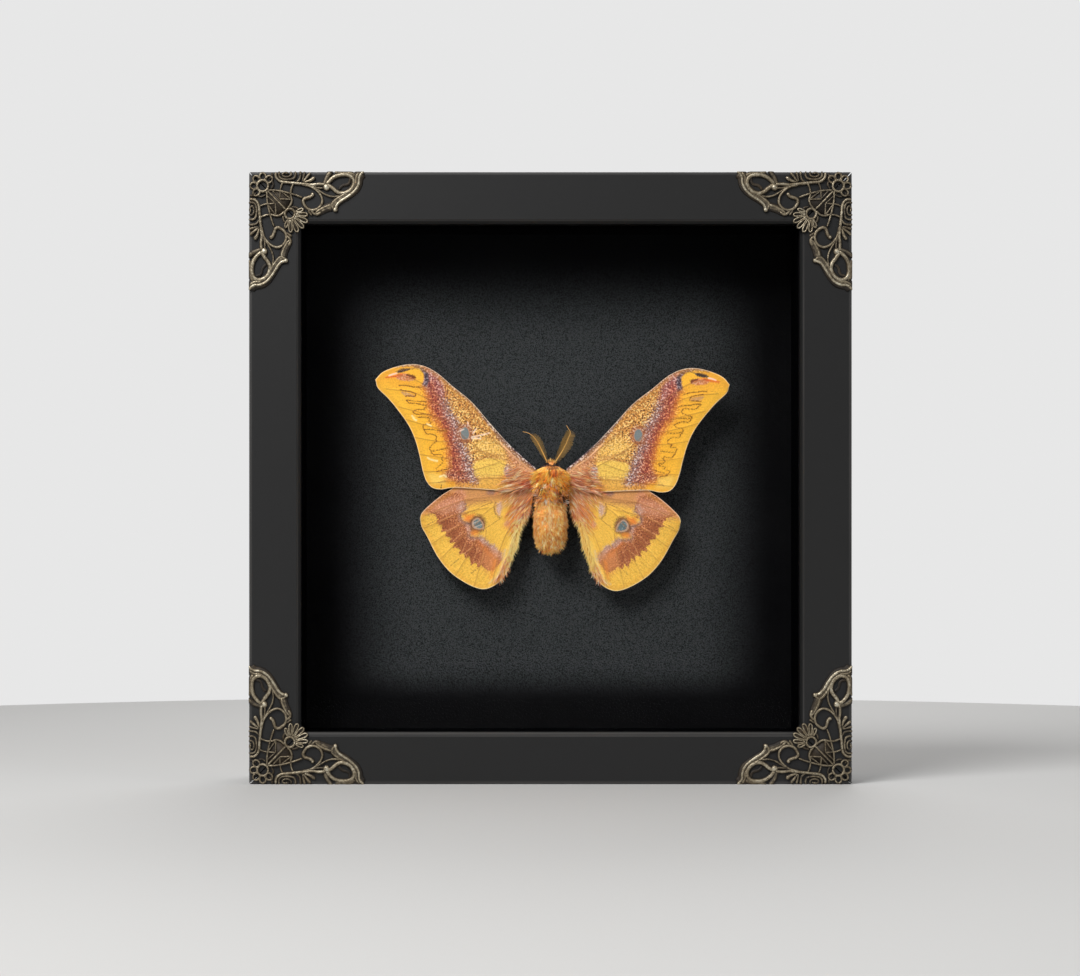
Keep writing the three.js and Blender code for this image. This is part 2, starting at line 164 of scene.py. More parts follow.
def railMaterial():
    material = newMaterial("blackFoil")
    tree = material.node_tree
    place = objectPlace(tree)
    fine = noise(tree, place, 1400, 3, 0.6)
    cloudy = noise(tree, place, 22, 3, 0.55)
    parts = put(tree, "SeparateXYZ", {0: place})
    across = calc(tree, "ABSOLUTE", parts.outputs[0])
    up = calc(tree, "ABSOLUTE", calc(tree, "SUBTRACT", parts.outputs[2], frameHigh * mm / 2))
    # Pale line on the outer arris, where the foil turns over the corner: partly wear, partly a painted
    # highlight
    outX = calc(tree, "SUBTRACT", frameWide * mm / 2, across)
    outZ = calc(tree, "SUBTRACT", frameHigh * mm / 2, up)
    fromEdge = calc(tree, "MINIMUM", outX, outZ)
    front = span(tree, parts.outputs[1], (railFace + 1.2) * mm, (railFace + 0.3) * mm)
    line = span(tree, fromEdge, rails["edgeLine"] * mm, rails["edgeLine"] * 2.2 * mm, 1, 0)
    arrisWearAndSheen = calc(tree, "MULTIPLY", calc(tree, "MULTIPLY", line, front),
                span(tree, cloudy, 0.3, 0.7, 0.4, 1))
    tone = blend(tree, calc(tree, "MULTIPLY", arrisWearAndSheen, 0.6), rails["colour"], rails["worn"])
    tone = blend(tree, span(tree, cloudy, 0.35, 0.75, 0, 0.25), tone, rails["foil"])
    # Painted shade darkens the inner lip at the top and sides, and a painted highlight in the worn
    # colour lightens it along the bottom, where it faces up to the light
    lip = span(tree, fromEdge, rails["lip"] * mm, (rails["lip"] + 0.3) * mm)
    near, far = rails["lipFade"]
    topShade, sideShade = rails["lipShade"]
    shade = calc(tree, "ADD", span(tree, parts.outputs[2], near * mm, far * mm, 0, sideShade),
                 span(tree, parts.outputs[2], (frameHigh - far) * mm, (frameHigh - near) * mm, 0,
                      topShade))
    shaded = calc(tree, "MULTIPLY", lip, shade)
    tone = blend(tree, shaded, tone, rails["lipShadeColour"])
    shine = span(tree, parts.outputs[2], near * mm, far * mm, rails["lipShine"], 0)
    bright = calc(tree, "MULTIPLY", lip, shine)
    tone = blend(tree, bright, tone, rails["worn"])
    # A pale line along the inner arris: partly wear, partly a painted highlight
    starts, full, ends = [(rails["lip"] - reach) * mm for reach in rails["arris"]]
    arris = calc(tree, "MULTIPLY", span(tree, fromEdge, starts, full),
                 span(tree, fromEdge, ends, rails["lip"] * mm, 0.5, 0))
    tone = blend(tree, calc(tree, "MULTIPLY", arris, span(tree, cloudy, 0.3, 0.7, 0.3, 1)), tone,
                 rails["worn"])
    gloss = calc(tree, "ADD", rails["roughness"], calc(tree, "MULTIPLY", fine, 0.12))
    return surface(
        material,
        Base_Color=tone,
        Roughness=gloss,
        Normal=bumped(tree, fine, rails["grain"], 0.0002),
        Specular_IOR_Level=0.35,
    )


# Inside of the box

board = {
    "colour": rgb(39, 41, 42),
    "deep": rgb(2, 2, 3),
    "pebbles": 2100, "grain": 3700,     # per metre
    "speckAndSheen": (0.23, 0.53, 0.15, 2.2),   # grain heights, and how much they darken and lighten
    "wall": 66.5,  # from the middle of the frame to the inner walls
    # painted shade from each wall: how far the paper stays black, and where it is fully lit
    "fade": {"left": (5, 32), "right": (5, 27.5), "top": (3, 29), "bottom": (5.5, 17.5)},
}


def leatherPaperMaterial():
    material = newMaterial("leatherGrainPaper")
    tree = material.node_tree
    place = objectPlace(tree)
    bent = put(tree, "VectorMath", {0: place, 1: put(tree, "VectorMath", {
        0: put(tree, "TexNoise", {"Vector": place, "Scale": 900, "Detail": 1}).outputs[1],
        "Scale": 0.0005}, operation="SCALE").outputs[0]}, operation="ADD").outputs[0]
    pebble = cells(tree, bent, board["pebbles"], "SMOOTH_F1")
    grain = noise(tree, place, board["grain"], 2, 0.6)
    height = calc(tree, "ADD", calc(tree, "MULTIPLY", pebble, -1.0),
                  calc(tree, "MULTIPLY", grain, 0.45))
    cloudy = noise(tree, place, 60, 2, 0.5)
    # Painted shade: the paper darkens to black towards the walls, which shade it
    parts = put(tree, "SeparateXYZ", {0: place})
    x, z = parts.outputs[0], parts.outputs[2]
    wall, middle = board["wall"] * mm, frameHigh / 2 * mm
    away = {
        "left": calc(tree, "ADD", x, wall),
        "right": calc(tree, "SUBTRACT", wall, x),
        "top": calc(tree, "SUBTRACT", middle + wall, z),
        "bottom": calc(tree, "SUBTRACT", z, middle - wall),
    }
    lit = 1.0
    for side, (black, full) in board["fade"].items():
        lit = calc(tree, "MULTIPLY", lit, span(tree, away[side], black * mm, full * mm))
    # Grain flecks darken and lighten the paper; the pale flecks are partly a painted sheen on the grain
    speckAndSheen = calc(tree, "SUBTRACT", grain, calc(tree, "MULTIPLY", pebble, 0.2))
    speckAndSheen = span(tree, speckAndSheen, *board["speckAndSheen"])
    tone = blend(tree, lit, board["deep"], board["colour"])
    tone = blend(tree, 1.0, tone, put(tree, "CombineColor", {0: speckAndSheen, 1: speckAndSheen, 2: speckAndSheen}).outputs[0],
                 "MULTIPLY")
    gloss = calc(tree, "SUBTRACT", span(tree, cloudy, 0.3, 0.7, 0.85, 0.95),
                 calc(tree, "MULTIPLY", lit, 0.35))
    return surface(
        material,
        Base_Color=tone,
        Roughness=gloss,
        Normal=bumped(tree, calc(tree, "MULTIPLY", height, span(tree, lit, 0, 1, 0.1, 1)), 0.7, 0.0003),
        Specular_IOR_Level=0.1,
    )


def spacerMaterial():
    material = newMaterial("mattBlackBoard")
    tree = material.node_tree
    place = objectPlace(tree)
    fibre = noise(tree, place, 1800, 3, 0.7)
    tone = blend(tree, fibre, rgb(2, 2, 3), rgb(5, 5, 6))
    return surface(material, Base_Color=tone, Roughness=0.9, Specular_IOR_Level=0.0,
                   Normal=bumped(tree, fibre, 0.03, 0.00005))


glass = {"clear": 0.9, "shine": 0.25, "shineIndex": 1.45}


def glassMaterial():
    # Clear picture glass that doesn't bend what lies behind it, with a little mirror shine
    material = newMaterial("clearGlass")
    tree = material.node_tree
    pane = put(tree, "BsdfPrincipled", {
        "Base Color": (1, 1, 1, 1), "Roughness": 0.0, "IOR": 1.0, "Transmission Weight": 1.0,
        "Coat Weight": glass["shine"], "Coat Roughness": 0.0,
        "Coat IOR": glass["shineIndex"]}).outputs[0]
    clear = put(tree, "BsdfTransparent").outputs[0]
    lamp = put(tree, "LightPath").outputs["Is Shadow Ray"]
    share = calc(tree, "MAXIMUM", lamp, glass["clear"])
    put(tree, "OutputMaterial", {0: put(tree, "MixShader", {0: share, 1: pane, 2: clear}).outputs[0]})
    return material


# Back of the frame

def fibreboardMaterial():
    material = newMaterial("brownFibreboard")
    tree = material.node_tree
    place = objectPlace(tree)
    fibres = noise(tree, place, 900, 5, 0.75, 0.6)
    flecks = cells(tree, place, 1500)
    tone = blend(tree, span(tree, fibres, 0.3, 0.7), rgb(128, 98, 66), rgb(172, 138, 98))
    tone = blend(tree, span(tree, flecks, 0.0, 0.3, 0.45, 0), tone, rgb(84, 60, 38))
    return surface(material, Base_Color=tone, Roughness=0.9, Specular_IOR_Level=0.2,
                   Normal=bumped(tree, fibres, 0.35, 0.00015))


steelParts = {  # material, tint, roughness, and how finely it is brushed along each axis
    "backing_tab": ("springSteel", rgb(176, 176, 174), 0.3, (300, 300, 6000)),
    "sawtooth_hanger": ("hangerSteel", rgb(190, 188, 180), 0.3, (300, 6000, 6000)),
    "hanger_nail": ("nailSteel", rgb(150, 148, 142), 0.35, (900, 900, 900)),
    "pin": ("pinSteel", rgb(150, 150, 150), 0.25, (900, 300, 900)),
}


def steelMaterial(name, tint, roughness, brushed):
    material = newMaterial(name)
    tree = material.node_tree
    lines = noise(tree, objectPlace(tree, brushed), 1.0, 4, 0.6)
    spots = noise(tree, objectPlace(tree), 260, 3, 0.6)
    tone = blend(tree, span(tree, spots, 0.45, 0.75, 0, 0.35), tint, rgb(120, 112, 100))
    gloss = calc(tree, "ADD", roughness, calc(tree, "MULTIPLY", lines, 0.15))
    return surface(material, Base_Color=tone, Metallic=1.0, Roughness=gloss,
                   Normal=bumped(tree, lines, 0.08, 0.0001))


def namesStarting(*starts):
    return [name for name in nodes if name.startswith(starts)]


dress(namesStarting("frame_rail"), railMaterial())
dress(namesStarting("spacer_strip"), spacerMaterial())
dress(["mount_board"], leatherPaperMaterial())
dress(["glass_pane"], glassMaterial())
dress(["backing_board"], fibreboardMaterial())
for start, finish in steelParts.items():
    dress(namesStarting(start), steelMaterial(*finish))
print("frame, box and back have their finishes")


# Curves shared by the wings, the hairs and the castings

def smoothLine(points, count):
    # A centripetal curve through the points, resampled at even steps along its length
    given = np.array(points, float)
    whole = np.vstack([2 * given[0] - given[1], given, 2 * given[-1] - given[-2]])
    fine = []
    for i in range(1, len(whole) - 2):
        group = whole[i - 1:i + 3]
        gaps = np.maximum(np.linalg.norm(np.diff(group, axis=0), axis=1), 1e-9) ** 0.5
        t0, t1, t2, t3 = 0.0, gaps[0], gaps[0] + gaps[1], gaps.sum()
        t = np.linspace(t1, t2, 25)[:-1, None]
        a1 = (t1 - t) / (t1 - t0) * group[0] + (t - t0) / (t1 - t0) * group[1]
        a2 = (t2 - t) / (t2 - t1) * group[1] + (t - t1) / (t2 - t1) * group[2]
        a3 = (t3 - t) / (t3 - t2) * group[2] + (t - t2) / (t3 - t2) * group[3]
        b1 = (t2 - t) / (t2 - t0) * a1 + (t - t0) / (t2 - t0) * a2
        b2 = (t3 - t) / (t3 - t1) * a2 + (t - t1) / (t3 - t1) * a3
        fine.append((t2 - t) / (t2 - t1) * b1 + (t - t1) / (t2 - t1) * b2)
    fine = np.vstack(fine + [given[-1:]])
    lengths = np.concatenate([[0], np.cumsum(np.linalg.norm(np.diff(fine, axis=0), axis=1))])
    even = np.linspace(0, lengths[-1], count)
    return np.stack([np.interp(even, lengths, fine[:, axis]) for axis in range(given.shape[1])], axis=1)


def roughField(x, z, pitch, seed):
    # Smooth random values from -1 to 1 over a plane, about one bump for each pitch
    count, shift = 97, 400  # size of the table, and a shift that keeps places above zero
    values = np.random.default_rng(seed).uniform(-1, 1, (count, count))
    u, v = x / pitch + shift, z / pitch + shift
    cellU, cellV = np.floor(u).astype(int), np.floor(v).astype(int)
    fu, fv = u - cellU, v - cellV
    fu, fv = fu * fu * (3 - 2 * fu), fv * fv * (3 - 2 * fv)
    corner = [[values[(cellU + i) % count, (cellV + j) % count] for j in (0, 1)] for i in (0, 1)]
    low = corner[0][0] * (1 - fu) + corner[1][0] * fu
    high = corner[0][1] * (1 - fu) + corner[1][1] * fu
    return low * (1 - fv) + high * fv


def lineDistance(places, line):
    nearest = np.full(len(places), 1e9)
    for start, end in zip(line[:-1], line[1:]):
        along = end - start
        share = np.clip(((places - start) @ along) / max(along @ along, 1e-12), 0, 1)
        nearest = np.minimum(nearest, np.linalg.norm(places - start - share[:, None] * along, axis=1))
    return nearest


def insideOf(places, ring):
    inside = np.zeros(len(places), bool)
    for start, end in zip(ring, np.roll(ring, -1, axis=0)):
        crosses = (start[1] > places[:, 1]) != (end[1] > places[:, 1])
        rise = end[1] - start[1] if end[1] != start[1] else 1e-12
        meets = start[0] + (places[:, 1] - start[1]) / rise * (end[0] - start[0])
        inside ^= crosses & (places[:, 0] < meets)
    return inside


def oval(across, up, halfWide, halfHigh, turn=0.0):
    angles = np.linspace(0, 2 * math.pi, 25)[:-1]
    u, v = halfWide * np.cos(angles), halfHigh * np.sin(angles)
    return [(across + a * math.cos(turn) - b * math.sin(turn),
             up + a * math.sin(turn) + b * math.cos(turn)) for a, b in zip(u, v)]


def meshPiece(name, places, faces, material):
    mesh = bpy.data.meshes.new(name)
    mesh.from_pydata(places.tolist(), [], faces)
    mesh.validate()
    mesh.polygons.foreach_set("use_smooth", [True] * len(mesh.polygons))
    mesh.materials.append(material)
    piece = bpy.data.objects.new(name, mesh)
    bpy.context.scene.collection.objects.link(piece)
    return piece


# The moth's own places are in millimetres from the middle of its thorax

moth = {"across": 0.45, "plane": 1.5, "up": 81.4, "turn": 0.014}


def mothPlaces(local):
    local = np.asarray(local, float)
    cos, sin = math.cos(moth["turn"]), math.sin(moth["turn"])
    turned = np.stack([
        local[:, 0] * cos + local[:, 2] * sin + moth["across"],
        local[:, 1] + moth["plane"],
        local[:, 2] * cos - local[:, 0] * sin + moth["up"],
    ], axis=1)
    return turned * mm


def turnedBack(points):
    # The markings were noted on the specimen as it is pinned, a little turned
    points = np.array(points, float)
    return points + moth["turn"] * np.stack([-points[:, 1], points[:, 0]], axis=1)


# Wing outlines for the right side, from root to tip

forewing = {
    "front": [(4.1, 3.1), (7.2, 5.6), (12.2, 10.2), (17.1, 15.5), (22, 21), (27, 25), (31.7, 28.85),
              (35.2, 30.5), (38.5, 30.9), (42.9, 30), (46.4, 28.4), (48.1, 26.5)],
    "rear": [(4.9, -2.2), (11, -3.2), (15.5, -3), (21, -2.7), (26.8, -2.5), (30, -3), (32.4, -2.5),
             (33.9, -0.8), (34.9, 1.9), (35.9, 6.2), (37.1, 10.3), (38.8, 14), (42.1, 18.6),
             (44.6, 21.5), (47.5, 24.4), (48, 26.1)],
    "depth": lambda s, t: -0.3 - 1.3 * s * s - 0.35 * np.sin(math.pi * t) * (1 - s / 2),
    "veins": [
        [(4.5, 2.2), (8, 4.4), (12, 7.6), (18, 12.8), (24, 17), (30, 21.6), (36, 26), (42, 28)],
        [(4.8, 0.6), (12, 3.6), (19, 7.6), (23, 10.6), (25.3, 13.4), (24.4, 17)],
        [(24.6, 16), (32, 20.6), (38, 23.2), (45, 24)],
        [(25, 14.6), (32, 16.8), (41.6, 19.2)],
        [(25.3, 13.4), (31, 13.6), (39.6, 15.8)],
        [(23, 10.6), (30, 10), (37.4, 11)],
        [(19, 7.6), (27, 5.6), (36, 6.4)],
        [(14, 4.6), (22, 2.2), (34.8, 1.8)],
        [(4.8, -0.8), (14, 0.3), (24, -0.5), (33.6, -1.4)],
    ],
    "steps": 232, "rows": 132, "thickness": 0.3, "pleat": 0.1, "veinRise": 0.05,
}
hindwing = {
    "front": [(4.9, -0.6), (12, 0.8), (20, 0.4), (25, -1.2), (27.1, -2.85), (29.6, -4.5), (33, -7.35),
              (35.1, -9.6), (35.5, -10.9)],
    "rear": [(4.95, -5.5), (5.3, -7.6), (6.3, -10.5), (7.6, -12.6), (8.3, -15.2), (8.9, -18.4),
             (10.2, -21.3), (11.3, -24.7), (13, -27.3), (15.5, -29.25), (18, -30), (20.4, -29.5),
             (23.7, -27.9), (27.3, -25.3), (30.6, -21.3), (33.6, -15.8), (35.1, -13.1), (35.5, -11.2)],
    "depth": lambda s, t: 0.1 + 0.4 * t - 0.3 * s * s - 0.6 * t * np.sin(math.pi * s) + 0.5 * s * t,
    "veins": [
        [(5, -2), (14, -4.4), (24, -6), (34, -10)],
        [(5, -3), (13, -6.2), (17, -8.6), (19, -11), (17.4, -14)],
        [(17, -7.8), (25, -9.6), (34.4, -13.6)],
        [(18.8, -9.6), (26, -13.6), (32.4, -18)],
        [(19, -11), (25, -17), (29.8, -22)],
        [(18.4, -13), (22, -20), (25.6, -26.4)],
        [(17.4, -14), (18.4, -21), (20.4, -29)],
        [(5.4, -4), (10, -11), (13.6, -19), (15.6, -28.6)],
        [(5.4, -5), (8.6, -13), (11, -21), (12.6, -26)],
    ],
    "steps": 190, "rows": 150, "thickness": 0.3, "pleat": 0.14, "veinRise": 0.05,
}

toothLines = {  # traced one wing at a time, because the two differ
    1: [[(36, 23.2), (37.1, 23.4), (38.6, 23.8), (40.1, 24), (41.3, 24.2), (42.4, 24.1)],
        [(41.3, 23.3), (39.6, 23), (38.1, 22.6), (37.5, 21.9), (37.7, 21.5), (39.1, 21.3),
         (40.7, 21.3)],
        [(34.6, 19.7), (36.1, 20.1), (38.1, 20.4), (40.1, 20.6), (40.8, 20.4), (40.1, 20.1),
         (39.8, 19.6), (39.1, 19.3), (37.6, 19.4), (36.1, 19.4), (35.6, 18.8), (35.4, 18.4),
         (35.7, 17.9), (37.1, 17.6), (38.1, 17.3), (38.1, 16.9), (37.1, 16.7), (35.4, 16.7),
         (34, 16.7)],
        [(37.9, 16.6), (37.7, 16.1), (37.1, 15.7), (35.6, 15.8), (34.4, 15.5), (33.4, 14.9),
         (34.1, 14.2), (35.5, 14), (35.9, 13.4), (35.7, 12.8), (34.1, 12.6), (31.6, 12.7)],
        [(35.7, 12.7), (35, 12.1), (35.1, 11.6), (34.5, 11.4), (33.1, 11.5), (32.3, 11.1), (31.7, 10.6),
         (31.7, 9.7), (32.8, 9.5), (32.3, 8.9), (33.6, 8.7), (34.3, 8.3), (33.9, 7.7), (33.8, 7.2),
         (32.4, 7.4), (29.8, 7.7)],
        [(33.8, 7.1), (33.2, 6.5), (33.1, 6), (31.9, 5.9), (30.7, 6.1), (30.1, 5.6), (31, 5.1),
         (30.3, 4.4), (29.3, 4.5), (29.7, 3.8), (31.1, 3.6), (30.7, 2.9), (31.9, 2.6), (32.4, 2.1),
         (31.7, 1.3), (30.2, 1.8), (28.5, 2.5)],
        [(29.5, 0.7), (30.6, 0.8), (31.6, 1)]],
    -1: [[(35.7, 24), (37.1, 24.2), (38.8, 24.4), (40.5, 24.6), (42.1, 24.5)],
         [(41.7, 23.3), (40, 23.1), (38.5, 22.9), (37.3, 22.5), (37.4, 21.8), (38.5, 21.7),
          (40.3, 21.4)],
         [(34.5, 20.1), (35.5, 20.3), (36.9, 20.3), (38.4, 20.4), (40, 20.4), (39.6, 20), (39.1, 19.6),
          (37.4, 19.6), (35.9, 19.5), (34.6, 19.3), (34.4, 18.9), (35.1, 18.5), (35.2, 18.1),
          (36.6, 18), (37.7, 17.8), (38.1, 17.4), (37.7, 17), (36.8, 16.7), (35.4, 16.9), (32.9, 16.8)],
         [(36.6, 15.9), (35.3, 16), (33.7, 16), (33.3, 15.7), (33.6, 15.2), (32.8, 14.9), (33.1, 14.3),
          (34.3, 14.1), (35.1, 13.8), (35.2, 13.3), (34.9, 12.6), (33.3, 12.7), (31.3, 12.7),
          (28.8, 12.3)],
         [(34.7, 12.5), (34.5, 11.9), (34, 11.4), (33, 11.5), (31.9, 11.3), (31.4, 10.9), (31.7, 10.2),
          (31.3, 9.7), (31.9, 9.4), (32.9, 8.4), (33.3, 7.8), (33.1, 7.1), (32.5, 6.9), (31.1, 7.2),
          (27.9, 7.9)],
         [(32.7, 6.8), (32.4, 6.1), (31.7, 5.9), (30.5, 6), (29.6, 5.6), (29.9, 4.9), (29.3, 4.3),
          (30, 3.6), (30.8, 2.9), (31.3, 2.2)],
         [(31, 1.5), (29.5, 1.9), (28, 2.2), (27, 2.7)]],
}
outerVeins = [[(42.4, 24.1), (43.8, 23.9), (45.5, 23.5)], [(40.8, 20.4), (43.3, 19.7)],
              [(38, 16.7), (39.1, 16.5), (40.3, 16.4)], [(35.7, 12.8), (37.7, 12)],
              [(33.8, 7.2), (35.9, 6.7)], [(31.7, 1.3), (33.9, 0.7)]]
yellowEdge = [
    (36.2, 24.2), (35.2, 23.4), (35, 22.4), (34.8, 21.2), (34.4, 19.7), (34, 18.2), (33.6, 16.9),
    (32.8, 15.6), (31.6, 14.4), (30.7, 12.6), (29.7, 11.4), (29, 9.2), (28.7, 7.7), (28.5, 5.6),
    (28, 4.4), (28.3, 2.4), (29.1, 1), (29.4, 0), (28, -0.8), (26.4, -1.2),
]
bandInside = [
    (31.5, 27.6), (29.8, 25), (29.2, 22), (28.8, 19), (27.6, 16.5), (26, 15), (25.4, 13), (25.2, 11),
    (24.4, 9), (23.4, 7), (22.8, 5), (22, 3), (21.2, 1), (20.3, -1),
]

